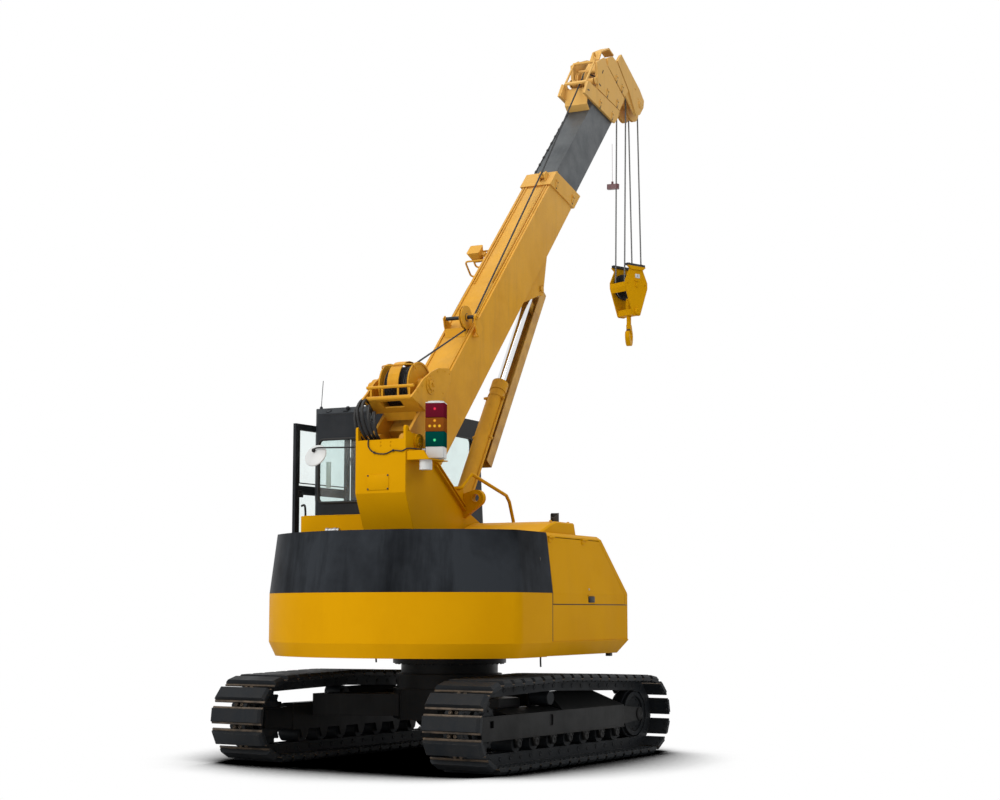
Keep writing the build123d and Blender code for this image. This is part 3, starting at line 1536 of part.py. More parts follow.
def lamp_prism(size, low_z, high_z):
    """A slice of the lamp column: a square turned on its bracket, with cut corners."""
    with BuildSketch(Plane.XY.offset(low_z)) as slice_plan:
        with Locations(Location((lamp_place[0], lamp_place[1], 0), (0, 0, lamp_turn))):
            Rectangle(size, size)
        chamfer(slice_plan.vertices(), size * 0.2)
    extrude(slice_plan.sketch, amount=high_z - low_z)


def make_light_stack():
    """White base, cap and siren of the load signal."""
    base_z = shelf_z + shelf_plate
    with BuildPart() as stack:
        lamp_prism(lamp_size, base_z + lamp_stub, lamp_levels[0] - lamp_seam)
        lamp_prism(lamp_size, lamp_levels[3] + lamp_seam, lamp_levels[3] + 20)
        with Locations((lamp_place[0], lamp_place[1], base_z + lamp_stub / 2)):
            Cylinder(48, lamp_stub)
        with Locations((siren_x, lamp_place[1], shelf_z - siren_height / 2)):
            Cylinder(58, siren_height)
        with Locations((lamp_place[0], lamp_place[1], (lamp_levels[0] + lamp_levels[3]) / 2)):
            Cylinder(22, lamp_levels[3] - lamp_levels[0] + 4)
    return stack.part


def make_lamp_lenses():
    """Green, amber and red lens of the load signal, one above the other round the lamp tube."""
    with BuildPart() as lenses:
        for low_z, high_z in zip(lamp_levels[:3], lamp_levels[1:]):
            lamp_prism(lamp_size - 4, low_z, high_z - 2 * lamp_seam)
        with Locations((lamp_place[0], lamp_place[1], (lamp_levels[0] + lamp_levels[3]) / 2)):
            Cylinder(22 + running_gap, lamp_levels[3] - lamp_levels[0] + 10, mode=Mode.SUBTRACT)
    return lenses.part


def make_mirror():
    """Round mirror on an arm."""
    with BuildPart() as mirror:
        with BuildSketch(Plane.YZ.offset(mirror_x)) as disc:
            with Locations((mirror_y, mirror_z)):
                Circle(120)
        extrude(disc.sketch, amount=26)
        block(
            mirror_x + 10, mirror_x + 25, web_inner_y + web_thickness, mirror_y, mirror_z - 55,
            mirror_z - 35,
        )
    return mirror.part


upper_parts = [
    ("revolving_frame", make_revolving_frame),
    ("slew_ring_upper", make_ring_upper),
    ("counterweight", make_counterweight),
    ("counterweight_band", make_counterweight_band),
    ("engine_bay", make_engine_bay),
    ("door_hinge_leaves", make_hinge_leaves),
    ("engine_bonnet", make_bonnet),
    ("engine_block", make_engine_block),
    ("exhaust_stub", make_exhaust),
    ("boom_pedestal", make_pedestal),
    ("cab_shell", make_cab),
    ("cab_glass", make_cab_glass),
    ("operator_seat", make_seat),
    ("left_body", make_cab_base),
    ("handrail", make_handrail),
    ("signal_lamps", make_light_stack),
    ("lamp_lenses", make_lamp_lenses),
    ("mirror", make_mirror),
    ("engine_door", make_engine_door),
    ("cab_door", lambda: make_cab_door(False)),
    ("cab_door_glass", lambda: make_cab_door(True)),
    ("boom_base", make_boom_base),
    ("wear_pads", make_wear_pads),
    ("winch_frame", make_winch_frame),
    ("winch_drum", make_winch_drum),
    ("rope_guide", make_rope_guide),
    ("boom_lamp", make_boom_lamp),
    ("fly_section", make_fly),
    ("boom_head", make_head),
    ("head_sheaves", make_head_sheaves),
    ("hoist_ropes", make_ropes),
    ("limit_weight", make_limit_weight),
    ("hook_block", make_hook_block),
    ("block_guards", make_block_guards),
    ("block_sheaves", make_block_sheaves),
    ("hook", make_hook),
    ("lift_cylinder_tube", make_lift_tube),
    ("lift_cylinder_rod", make_lift_rod),
]
chassis_parts = [
    ("car_body", make_car_body),
    ("slew_ring_lower", make_ring_lower),
]
sided_parts = [
    ("track", make_track),
    ("track_frame", make_track_frame),
    ("track_rollers", make_rollers),
    ("idler", make_idler),
    ("drive_sprocket", make_sprocket),
]

os.makedirs("parts", exist_ok=True)


def save(node, solid):
    """Writes one labelled piece."""
    solid.label = node
    export_step(solid, f"parts/{node}.step")


for node, make in upper_parts:
    save(node, make())
for node, make in chassis_parts:
    save(node, make().moved(chassis))
for node, make in sided_parts:
    for side, name in ((1, "left"), (-1, "right")):
        save(f"{node}_{name}", make(side).moved(chassis))
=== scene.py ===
import bpy
import bmesh
from math import acos, atan2, cos, degrees, exp, hypot, pi, radians, sin
from mathutils import Matrix, Vector


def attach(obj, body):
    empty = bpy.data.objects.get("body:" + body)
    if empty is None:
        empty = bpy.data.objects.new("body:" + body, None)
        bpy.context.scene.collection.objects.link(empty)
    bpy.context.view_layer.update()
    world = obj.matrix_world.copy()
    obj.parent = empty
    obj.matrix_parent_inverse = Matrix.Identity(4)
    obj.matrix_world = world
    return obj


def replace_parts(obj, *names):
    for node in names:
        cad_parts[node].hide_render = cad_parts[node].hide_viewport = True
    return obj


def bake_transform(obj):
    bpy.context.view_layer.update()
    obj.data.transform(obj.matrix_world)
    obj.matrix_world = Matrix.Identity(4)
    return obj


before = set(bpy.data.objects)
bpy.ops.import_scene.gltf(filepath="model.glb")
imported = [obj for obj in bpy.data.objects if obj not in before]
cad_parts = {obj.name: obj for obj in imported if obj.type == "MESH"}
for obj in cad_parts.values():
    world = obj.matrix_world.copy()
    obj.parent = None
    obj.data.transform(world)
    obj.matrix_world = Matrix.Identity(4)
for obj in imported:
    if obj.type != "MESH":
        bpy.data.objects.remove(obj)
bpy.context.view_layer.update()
print("stage: frame loaded,", len(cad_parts), "nodes")


class NodeKit:  # adds nodes to one tree: a value that is a socket is linked, any other is set
    def __init__(self, owner):
        owner.use_nodes = True
        self.nodes, self.links = owner.node_tree.nodes, owner.node_tree.links
        self.nodes.clear()

    def add(self, kind, values, result=0, **props):
        node = self.nodes.new("ShaderNode" + kind)
        for key, value in props.items():
            setattr(node, key, value)
        for key, value in values.items():
            socket = node.inputs[key]
            if isinstance(value, bpy.types.NodeSocket):
                self.links.new(value, socket)
            elif socket.type == "RGBA":
                socket.default_value = (*value, 1.0)
            else:
                socket.default_value = value
        return node.outputs[result] if len(node.outputs) else node

    def noise(self, coords, scale, detail=6.0, rough=0.65):
        return self.add("TexNoise", {"Vector": coords, "Scale": scale, "Detail": detail,
                                     "Roughness": rough}, "Fac")

    def remap(self, value, span, out=(0.0, 1.0)):
        return self.add("MapRange", {"Value": value, "From Min": span[0], "From Max": span[1],
                                     "To Min": out[0], "To Max": out[1]}, "Result", clamp=True)

    def maths(self, operation, first, second):
        return self.add("Math", {0: first, 1: second}, operation=operation, use_clamp=True)

    def mix(self, factor, first, second, blend="MIX"):
        return self.add("Mix", {"Factor": factor, 6: first, 7: second}, 2, data_type="RGBA",
                        blend_type=blend)

    def height(self, vector):
        return self.add("SeparateXYZ", {0: vector}, "Z")

    def seenOrMirrored(self):  # the white background is for the camera, reflections and glass only
        rays = self.nodes.new("ShaderNodeLightPath").outputs
        seen = self.maths("MAXIMUM", rays["Is Camera Ray"], rays["Is Glossy Ray"])
        return self.maths("MAXIMUM", seen, rays["Is Transmission Ray"])


def newMaterial(name):
    mat = bpy.data.materials.new(name)
    kit = NodeKit(mat)
    return mat, kit, kit.add("TexCoord", {}, "Object")


def closeMaterial(kit, mat, values):
    kit.add("OutputMaterial", {"Surface": kit.add("BsdfPrincipled", values)})
    return mat


surfaceDefaults = {
    "second": None, "patchScale": 1.4, "patchAmount": 0.5, "patchMask": (0.42, 0.62),
    "high": None, "sheenShare": 0.85, "speckle": 0.0, "speckleScale": 90.0, "speckleMask": (0.5, 0.72),
    "streak": 0.15, "streakColour": (0.05, 0.045, 0.04), "streakScale": (9.0, 9.0, 0.9),
    "streakMask": (0.5, 0.78),
    "dustAndSheen": 0.15, "dustAndSheenColour": (0.30, 0.26, 0.20), "dustScale": 5.0, "dustAndSheenFacing": (0.35, 0.95),
    "dustAndSheenMask": (0.3, 0.75), "dustRough": 0.4, "groundDust": 0.0, "groundTop": 0.9,
    "groundMask": (0.35, 0.7),
    "wear": 0.25, "wearColour": (0.16, 0.12, 0.08), "edge": 0.005, "edgeMask": (0.97, 0.80),
    "chipScale": 14.0, "chipMask": (0.48, 0.62), "roughLow": 0.3, "roughHigh": 0.45, "roughScale": 3.0,
    "roughMask": (0.35, 0.7), "metal": 0.0, "specular": 0.5, "bump": 0.15, "bumpScale": 220.0,
    "bumpDepth": 0.0006,
}


def surfaceMaterial(name, changes):
    cfg = {**surfaceDefaults, **changes}
    mat, kit, coords = newMaterial(name)
    second = cfg["second"] or tuple(c * 0.78 for c in cfg["colour"])
    patches = kit.noise(coords, cfg["patchScale"], 5.0, 0.6)
    colour = kit.mix(kit.remap(patches, cfg["patchMask"], (0.0, cfg["patchAmount"])), cfg["colour"], second)
    if cfg["high"]:  # painted sheen: colour turns paler higher up, standing in for the sky's light
        share = kit.remap(kit.height(coords), cfg["sheenSpan"], (0.0, cfg["sheenShare"]))
        colour = kit.mix(share, colour, cfg["high"])
    if cfg["speckle"]:
        fine = kit.noise(coords, cfg["speckleScale"], 3.0, 0.7)
        colour = kit.mix(kit.remap(fine, cfg["speckleMask"], (0.0, cfg["speckle"])), colour,
                         cfg["streakColour"])
    # streaks: dirt runs, and on the glossy black band painted reflections
    if cfg["streak"]:
        runsAndReflections = kit.noise(kit.add("Mapping", {"Vector": coords, "Scale": cfg["streakScale"]}), 1.0)
        colour = kit.mix(kit.remap(runsAndReflections, cfg["streakMask"], (0.0, cfg["streak"])), colour,
                         cfg["streakColour"])
    normal = kit.add("NewGeometry", {}, "Normal")
    # upward-facing mix: real dust, and on the boom and the cab also painted sheen, a paler top where the sky
    # lights it
    grit = kit.noise(coords, cfg["dustScale"])
    dustAndSheen = kit.maths("MULTIPLY", kit.remap(kit.height(normal), cfg["dustAndSheenFacing"]),
                     kit.remap(grit, cfg["dustAndSheenMask"], (0.2, 1.0)))
    dustAndSheen = kit.maths("MULTIPLY", dustAndSheen, cfg["dustAndSheen"])
    if cfg["groundDust"]:
        low = kit.maths("MULTIPLY", kit.remap(kit.height(coords), (cfg["groundTop"], 0.0)),
                        kit.remap(grit, cfg["groundMask"], (0.1, 1.0)))
        dustAndSheen = kit.maths("MAXIMUM", dustAndSheen, kit.maths("MULTIPLY", low, cfg["groundDust"]))
    colour = kit.mix(dustAndSheen, colour, cfg["dustAndSheenColour"])
    rounded = kit.add("Bevel", {"Radius": cfg["edge"]}, "Normal", samples=4)
    if cfg["wear"]:  # bare metal on the edges
        facing = kit.add("VectorMath", {0: rounded, 1: normal}, "Value", operation="DOT_PRODUCT")
        chips = kit.remap(kit.noise(coords, cfg["chipScale"], 6.0, 0.75), cfg["chipMask"])
        worn = kit.maths("MULTIPLY", kit.remap(facing, cfg["edgeMask"]), chips)
        colour = kit.mix(kit.maths("MULTIPLY", worn, cfg["wear"]), colour, cfg["wearColour"])
    rough = kit.remap(kit.noise(coords, cfg["roughScale"], 5.0, 0.6), cfg["roughMask"],
                      (cfg["roughLow"], cfg["roughHigh"]))
    rough = kit.maths("ADD", rough, kit.maths("MULTIPLY", dustAndSheen, cfg["dustRough"]))
    bump = kit.add("Bump", {"Strength": cfg["bump"], "Distance": cfg["bumpDepth"], "Normal": rounded,
                            "Height": kit.noise(coords, cfg["bumpScale"], 3.0, 0.6)})
    return closeMaterial(kit, mat, {"Base Color": colour, "Roughness": rough, "Normal": bump,
                                    "Metallic": cfg["metal"], "Specular IOR Level": cfg["specular"]})


surfaceTable = {
    "bodyYellow": dict(
        colour=(0.68, 0.325, 0.002), second=(0.62, 0.285, 0.001), streak=0.06,
        streakColour=(0.30, 0.14, 0.01),
        streakScale=(5.0, 5.0, 0.8), dustAndSheen=0.06, dustAndSheenColour=(0.60, 0.42, 0.18), wear=0.22,
        wearColour=(0.25, 0.15, 0.05), roughHigh=0.42, specular=0.012, bump=0.06, edge=0.007),
    # boom: the paler 'high' colour at the top is painted sheen, and its upward-facing dust is partly real
    # dust, partly painted sheen
    "boomYellow": dict(
        colour=(0.70, 0.34, 0.022), second=(0.60, 0.28, 0.016), high=(0.72, 0.43, 0.13), sheenSpan=(4.6, 7.2),
        patchScale=2.4, patchAmount=0.7, streak=0.2, streakColour=(0.20, 0.12, 0.05), dustAndSheen=0.30,
        dustAndSheenColour=(0.62, 0.46, 0.28), wear=0.6, wearColour=(0.10, 0.07, 0.05), roughLow=0.38,
        roughHigh=0.52, specular=0.06, bump=0.12, edge=0.004, speckle=0.1),
    # glossy black band: its dark vertical streaks are painted reflections
    "glossBlack": dict(
        colour=(0.034, 0.038, 0.044), second=(0.010, 0.011, 0.013), patchScale=0.8, patchAmount=0.9,
        streak=0.95,
        streakColour=(0.004, 0.0045, 0.0055), streakScale=(2.6, 2.6, 0.3), dustAndSheen=0.05, wear=0.0, roughLow=0.1,
        roughHigh=0.18, specular=0.008, bump=0.3, bumpScale=5.0, bumpDepth=0.006, edge=0.006),
    "chassisBlack": dict(
        colour=(0.006, 0.0065, 0.007), second=(0.011, 0.011, 0.011), dustAndSheen=0.12,
        dustAndSheenColour=(0.06, 0.055, 0.047),
        groundDust=0.16, groundTop=0.6, wear=0.5, wearColour=(0.10, 0.075, 0.05), roughLow=0.35,
        roughHigh=0.55, specular=0.1, bump=0.3, bumpScale=60.0),
    "trackSteel": dict(
        colour=(0.012, 0.0145, 0.0175), second=(0.020, 0.0205, 0.021), patchScale=6.0, streak=0.2,
        streakColour=(0.042, 0.039, 0.036), dustAndSheen=0.10, dustAndSheenColour=(0.055, 0.056, 0.056), groundDust=0.07,
        groundTop=0.5, wear=0.8, wearColour=(0.12, 0.105, 0.09), roughLow=0.45, roughHigh=0.66, specular=0.1,
        bump=0.5, bumpScale=70.0, bumpDepth=0.0015, edge=0.006, speckle=0.25),
    "wornSteel": dict(
        colour=(0.13, 0.095, 0.065), second=(0.045, 0.036, 0.028), patchScale=9.0, patchAmount=0.9,
        streak=0.4, streakColour=(0.03, 0.026, 0.022), dustAndSheen=0.2, dustAndSheenColour=(0.16, 0.13, 0.10), wear=0.4,
        wearColour=(0.30, 0.24, 0.18), roughLow=0.4, roughHigh=0.6, metal=0.3, specular=0.3, bump=0.4,
        bumpScale=90.0, edge=0.002, speckle=0.3),
    "flyGrey": dict(
        colour=(0.075, 0.083, 0.088), second=(0.040, 0.046, 0.052), patchScale=2.2, patchAmount=0.8,
        streak=0.5, streakColour=(0.018, 0.020, 0.022), streakScale=(1.6, 12.0, 1.6), dustAndSheen=0.22,
        dustAndSheenColour=(0.20, 0.20, 0.19),
        wear=0.8, wearColour=(0.03, 0.03, 0.03), roughHigh=0.55, metal=0.2, specular=0.3, bump=0.3,
        bumpScale=40.0, speckle=0.35),
    # cab: the pale bluish upward-facing mix is painted sheen on the top faces
    "cabBlack": dict(
        colour=(0.016, 0.018, 0.021), second=(0.036, 0.039, 0.044), dustAndSheen=0.6, dustAndSheenColour=(0.09, 0.10, 0.105),
        wear=0.2, wearColour=(0.06, 0.06, 0.06), specular=0.08, edge=0.008),
    "engineGrey": dict(
        colour=(0.10, 0.10, 0.10), streak=0.4, streakColour=(0.02, 0.018, 0.015), dustAndSheen=0.4, roughLow=0.45,
        roughHigh=0.7, metal=0.3, bump=0.5, bumpScale=30.0, bumpDepth=0.004),
    "darkMetal": dict(
        colour=(0.028, 0.027, 0.026), second=(0.05, 0.042, 0.034), streak=0.3, wear=0.6,
        wearColour=(0.3, 0.28, 0.26), roughLow=0.35, roughHigh=0.5, metal=0.6, specular=0.3, bump=0.3,
        edge=0.002),
    "brightMetal": dict(
        colour=(0.42, 0.42, 0.43), second=(0.30, 0.30, 0.31), streak=0.3, dustAndSheen=0.2, roughLow=0.25,
        roughHigh=0.4, metal=0.9, bump=0.1, edge=0.001, wear=0.0),
    "seatFabric": dict(
        colour=(0.020, 0.020, 0.024), second=(0.040, 0.040, 0.044), patchScale=40.0, streak=0.0, wear=0.0,
        roughLow=0.8, roughHigh=0.95, specular=0.2, bump=0.9, bumpScale=420.0, bumpDepth=0.001, edge=0.02),
    "whitePlastic": dict(
        colour=(0.66, 0.67, 0.66), second=(0.56, 0.57, 0.56), streakColour=(0.35, 0.33, 0.3), wear=0.0,
        roughLow=0.25, roughHigh=0.35, specular=0.3, bump=0.05, edge=0.004),
    "rubberBlack": dict(
        colour=(0.010, 0.010, 0.010), second=(0.018, 0.017, 0.016), streak=0.1, dustAndSheen=0.2,
        dustAndSheenColour=(0.07, 0.068, 0.065), wear=0.0, roughLow=0.45, roughHigh=0.65, specular=0.3, bump=0.3,
        edge=0.002),
    "stripGrey": dict(
        colour=(0.32, 0.38, 0.34), second=(0.26, 0.31, 0.28), streak=0.1, wear=0.0, roughHigh=0.4, bump=0.05,
        edge=0.002),
    "weightRed": dict(colour=(0.10, 0.012, 0.018), second=(0.065, 0.009, 0.012), wear=0.5, edge=0.003),
}


def ropeMaterial(name, colour, groove):
    cfg = {"waveScale": 28.545, "lay": (radians(30), radians(38), 0.0), "distortion": 0.3}
    mat, kit, coords = newMaterial(name)
    wave = kit.add("TexWave", {"Vector": kit.add("Mapping", {"Vector": coords, "Rotation": cfg["lay"]}),
                               "Scale": cfg["waveScale"], "Distortion": cfg["distortion"]}, "Fac")
    bump = kit.add("Bump", {"Strength": 0.8, "Distance": 0.002, "Height": wave})
    return closeMaterial(kit, mat, {"Base Color": kit.mix(wave, groove, colour), "Metallic": 0.3,
                                    "Roughness": 0.5, "Specular IOR Level": 0.3, "Normal": bump})


def rodMaterial(name):  # chrome on the rod, paint on the guard that lies further from the rod's axis
    cfg = {"base": (-0.5794, 0.0, 1.2455), "eye": (1.8597, 0.0, 4.8836), "rodRadius": 0.062,
           "chrome": (0.75, 0.76, 0.77), "paint": (0.58, 0.31, 0.045), "paintDark": (0.42, 0.21, 0.03)}
    mat, kit, coords = newMaterial(name)
    along = (Vector(cfg["eye"]) - Vector(cfg["base"])).normalized()
    away = kit.add("VectorMath", {0: coords, 1: cfg["base"]}, operation="SUBTRACT")
    across = kit.add("VectorMath", {0: away, 1: tuple(along)}, operation="CROSS_PRODUCT")
    offAxis = kit.add("VectorMath", {0: across}, "Value", operation="LENGTH")
    guard = kit.remap(offAxis, (cfg["rodRadius"], cfg["rodRadius"] + 0.002))
    smear = kit.remap(kit.noise(coords, 6.0, 5.0, 0.6), (0.4, 0.65))
    colour = kit.mix(guard, cfg["chrome"], kit.mix(smear, cfg["paint"], cfg["paintDark"]))
    return closeMaterial(kit, mat, {"Base Color": colour,
                                    "Roughness": kit.remap(guard, (0.0, 1.0), (0.12, 0.45)),
                                    "Metallic": kit.remap(guard, (0.0, 1.0), (1.0, 0.0)),
                                    "Specular IOR Level": 0.3})


def glassMaterial(name):
    cfg = {"tint": (0.95, 0.985, 0.98), "haze": (0.04, 0.09), "rough": 0.05}
    mat, kit, coords = newMaterial(name)
    clear = kit.add("BsdfTransparent", {"Color": cfg["tint"]})
    gloss = kit.add("BsdfPrincipled", {"Roughness": cfg["rough"], "Base Color": cfg["tint"]})
    haze = kit.remap(kit.noise(coords, 4.0, 6.0, 0.6), (0.4, 0.8), cfg["haze"])
    kit.add("OutputMaterial", {"Surface": kit.add("MixShader", {"Fac": haze, 1: clear, 2: gloss})})
    return mat


def lensMaterial(name):
    cfg = {"green": (0.001, 0.075, 0.062), "amber": (0.30, 0.085, 0.012), "red": (0.17, 0.010, 0.026),
           "levels": (3.035, 3.165), "ribScale": 32.0, "ribShade": 0.45, "spotSpan": (0.016, 0.0064),
           "spots": (((-1.152, -0.450, 2.955), (0.10, 1.0, 0.40)),
                     ((-1.152, -0.450, 3.245), (0.95, 0.03, 0.08)),
                     ((-1.167, -0.407, 3.085), (1.0, 0.55, 0.03)),
                     ((-1.152, -0.450, 3.085), (1.0, 0.55, 0.03)),
                     ((-1.136, -0.492, 3.085), (1.0, 0.55, 0.03)),
                     ((-1.152, -0.450, 3.135), (0.9, 0.40, 0.03)))}
    mat, kit, coords = newMaterial(name)
    colour = cfg["green"]
    for level, above in zip(cfg["levels"], (cfg["amber"], cfg["red"])):
        colour = kit.mix(kit.remap(kit.height(coords), (level, level + 0.001)), colour, above)
    ribs = kit.add("TexWave", {"Vector": coords, "Scale": cfg["ribScale"]}, "Color", bands_direction="Z")
    colour = kit.mix(cfg["ribShade"], colour, ribs, "MULTIPLY")
    # painted glow: bright spots of the lens colours; the lenses give no light
    for place, glow in cfg["spots"]:
        away = kit.add("VectorMath", {0: coords, 1: place}, "Value", operation="DISTANCE")
        colour = kit.mix(kit.remap(away, cfg["spotSpan"]), colour, glow)
    return closeMaterial(kit, mat, {"Base Color": colour, "Roughness": 0.2, "Specular IOR Level": 0.0})


def lampBodyMaterial(name):  # dark inside the lenses, white above and below
    cfg = {"white": (0.66, 0.67, 0.66), "dark": (0.055, 0.03, 0.03), "low": 2.893, "high": 3.292,
           "blur": 0.002}
    mat, kit, coords = newMaterial(name)
    middle = kit.maths("MULTIPLY", kit.remap(kit.height(coords), (cfg["low"], cfg["low"] + cfg["blur"])),
                       kit.remap(kit.height(coords), (cfg["high"] + cfg["blur"], cfg["high"])))
    return closeMaterial(kit, mat, {"Base Color": kit.mix(middle, cfg["white"], cfg["dark"]),
                                    "Roughness": 0.35, "Specular IOR Level": 0.2})


finishes = {name: surfaceMaterial(name, changes) for name, changes in surfaceTable.items()}
finishes["ropeSteel"] = ropeMaterial("ropeSteel", (0.24, 0.24, 0.235), (0.06, 0.06, 0.06))
finishes["ropeDark"] = ropeMaterial("ropeDark", (0.035, 0.035, 0.037), (0.008, 0.008, 0.008))
for name, make in (("rodChrome", rodMaterial), ("cabGlass", glassMaterial), ("lampLenses", lensMaterial),
                   ("lampBody", lampBodyMaterial)):
    finishes[name] = make(name)

finishUse = {  # the record's slot, and the nodes that wear the finish
    "bodyYellow": ("body_yellow", "revolving_frame counterweight engine_bay engine_door door_hinge_leaves "
                   "engine_bonnet boom_pedestal left_body handrail hook_block hook"),
    "boomYellow": ("boom_yellow", "boom_base winch_frame winch_drum rope_guide boom_head head_sheaves "
                   "lift_cylinder_tube boom_lamp"),
    "glossBlack": ("gloss_black", "counterweight_band"),
    "chassisBlack": ("chassis_black", "slew_ring_upper slew_ring_lower car_body track_frame_left "
                     "track_frame_right"),
    "trackSteel": ("track_steel", "track_left track_right track_rollers_left track_rollers_right idler_left "
                   "idler_right drive_sprocket_left drive_sprocket_right"),
    "wornSteel": ("track_steel", ""), "flyGrey": ("fly_grey", "fly_section"),
    "cabBlack": ("cab_black", "cab_shell cab_door"), "engineGrey": ("engine_grey", "engine_block"),
    "darkMetal": ("dark_metal", "exhaust_stub block_sheaves"), "brightMetal": ("bright_metal", ""),
    "seatFabric": ("seat_fabric", "operator_seat"), "whitePlastic": ("white_plastic", "mirror wear_pads"),
    "rubberBlack": ("rubber_black", "block_guards"), "stripGrey": ("cab_black", ""),
    "weightRed": ("weight_red", "limit_weight"), "ropeSteel": ("rope_steel", "hoist_ropes"),
    "ropeDark": ("rope_steel", ""), "rodChrome": ("chrome", "lift_cylinder_rod"),
    "cabGlass": ("glass", "cab_glass cab_door_glass"), "lampLenses": ("lamp_red", "lamp_lenses"),
    "lampBody": ("white_plastic", "signal_lamps"),
}
for name, (slot, nodeNames) in finishUse.items():
    for nodeName in nodeNames.split():
        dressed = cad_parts[nodeName].data.materials
        dressed.clear()
        dressed.append(finishes[name])
print("stage: materials set")


def spot(origin, angle, axis="Y"):
    return Matrix.Translation(origin) @ Matrix.Rotation(radians(angle), 4, axis)


toMetres = Matrix.Scale(0.001, 4)
boomFrame = spot((-1.139, 0.0, 2.945), -45.6) @ toMetres
rodFrame = spot((-0.5794, 0.0, 1.2455), -degrees(atan2(4883.6 - 1245.5, 1859.7 + 579.4))) @ toMetres
chassisFrame = Matrix.Rotation(radians(-6), 4, "Z") @ toMetres
blockFrame = spot((4.665, 0.0, 0.0), -23, "Z") @ toMetres
hookFrame = spot((4.665, 0.0, 0.0), 10, "Z") @ toMetres
doorFrame = spot((0.36, 1.35, 0.0), 175, "Z") @ Matrix.Translation((-0.36, -1.35, 0.0)) @ toMetres


def finishPiece(name, bm, matrix, finish, body, other=None, start=None, end=None):
    bmesh.ops.remove_doubles(bm, verts=bm.verts, dist=0.02)
    bmesh.ops.recalc_face_normals(bm, faces=bm.faces)
    for edge in bm.edges:
        edge.smooth = len(edge.link_faces) == 2 and edge.calc_face_angle(0.0) < radians(38)
    for face in bm.faces:
        face.smooth = True
    bm.transform(matrix)
    mesh = bpy.data.meshes.new(name)
    bm.to_mesh(mesh)
    bm.free()
    mesh.materials.append(finishes[finish])
    obj = bpy.data.objects.new(name, mesh)
    bpy.context.scene.collection.objects.link(obj)
    if other:
        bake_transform(obj)
    else:
        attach(obj, body)
    return obj


def joinPart(bm, part, place=None):  # a part is shaped alone, which is quicker, and then joined to its piece
    if place:
        part.transform(place)
    mesh = bpy.data.meshes.new("part")
    part.to_mesh(mesh)
    part.free()
    bm.from_mesh(mesh)
    bpy.data.meshes.remove(mesh)


axisOrder = {"X": (2, 0, 1), "Y": (0, 2, 1), "Z": (0, 1, 2)}


def addPrism(bm, outline, low, high, axis="Y", bevel=0.0, place=None):
    order = axisOrder[axis]
    part = bmesh.new()
    near, far = ([part.verts.new([(a, b, level)[k] for k in order]) for a, b in outline]
                 for level in (low, high))
    part.faces.new(near)
    part.faces.new(far)
    for i in range(len(outline)):
        part.faces.new((near[i - 1], near[i], far[i], far[i - 1]))
    if bevel:
        bmesh.ops.bevel(part, geom=part.edges, offset=bevel, offset_type="OFFSET", segments=2, profile=0.5,
                        affect="EDGES", material=-1)
    joinPart(bm, part, place)


def addBox(bm, low, high, bevel=2.0, place=None):
    outline = [(low[0], low[1]), (high[0], low[1]), (high[0], high[1]), (low[0], high[1])]
    addPrism(bm, outline, low[2], high[2], "Z", bevel, place)


def addLathe(bm, profile, centre, axis, segments=24):
    axis = Vector(axis).normalized()
    side = axis.orthogonal().normalized()
    part = bmesh.new()
    points = [part.verts.new(side * radius + axis * height) for radius, height in profile]
    edges = [part.edges.new(pair) for pair in zip(points, points[1:])]
    bmesh.ops.spin(part, geom=points + edges, axis=axis, angle=2 * pi, steps=segments, use_merge=True)
    joinPart(bm, part, Matrix.Translation(centre))


def addBolt(bm, centre, axis, size=20.0):
    washer = [(0.0, -size * 0.1), (size * 0.62, -size * 0.1), (size * 0.62, size * 0.08), (0.0, size * 0.1)]
    head = [(size * 0.48, 0.0), (size * 0.48, size * 0.32), (size * 0.40, size * 0.40), (0.0, size * 0.40)]
    addLathe(bm, washer, centre, axis, 12)
    addLathe(bm, head, centre, axis, 6)


def addTube(bm, points, radius, sides=8):
    points = [Vector(p) for p in points]
    last = len(points) - 1
    part = bmesh.new()
    normal, near = None, None
    for i, point in enumerate(points):
        along = (points[min(i + 1, last)] - points[max(i - 1, 0)]).normalized()
        normal = along.orthogonal().normalized() if normal is None else normal
        normal = (normal - along * normal.dot(along)).normalized()
        turn = Matrix((along.cross(normal), normal, -along)).transposed().to_4x4()
        ring = bmesh.ops.create_circle(part, cap_ends=i in (0, last), segments=sides, radius=radius,
                                       matrix=Matrix.Translation(point) @ turn)["verts"]
        far = list({edge for vert in ring for edge in vert.link_edges})
        if near:
            bmesh.ops.bridge_loops(part, edges=near + far)
        near = far
    joinPart(bm, part)


def smoothPath(corners, steps=8):
    corners = [Vector(p) for p in corners]
    path = []
    for i in range(len(corners) - 1):
        before = corners[max(i - 1, 0)]
        first, second = corners[i], corners[i + 1]
        after = corners[min(i + 2, len(corners) - 1)]
        for k in range(steps):
            t = k / steps
            path.append(0.5 * (2 * first + (second - before) * t
                               + (2 * before - 5 * first + 4 * second - after) * t ** 2
                               + (3 * first - before - 3 * second + after) * t ** 3))
    path.append(corners[-1])
    return path


def roundedLoop(lowA, highA, lowB, highB, radius, steps=5):
    loop = []
    for centreA, centreB, start in ((highA - radius, highB - radius, 0), (lowA + radius, highB - radius, 90),
                                    (lowA + radius, lowB + radius, 180),
                                    (highA - radius, lowB + radius, 270)):
        for k in range(steps + 1):
            turn = radians(start + 90 * k / steps)
            loop.append((centreA + radius * cos(turn), centreB + radius * sin(turn)))
    return loop


def arcPoints(centre, radius, first, last, y, steps=12):
    turns = [radians(first + (last - first) * k / steps) for k in range(steps + 1)]
    return [(centre[0] + radius * cos(t), y, centre[1] + radius * sin(t)) for t in turns]


def circlePoints(count, radius, centre=(0.0, 0.0), shift=0.0):
    turns = [2 * pi * (k + shift) / count for k in range(count)]
    return [(centre[0] + radius * cos(t), centre[1] + radius * sin(t)) for t in turns]


forward, left, up = Vector((1.0, 0.0, 0.0)), Vector((0.0, 1.0, 0.0)), Vector((0.0, 0.0, 1.0))

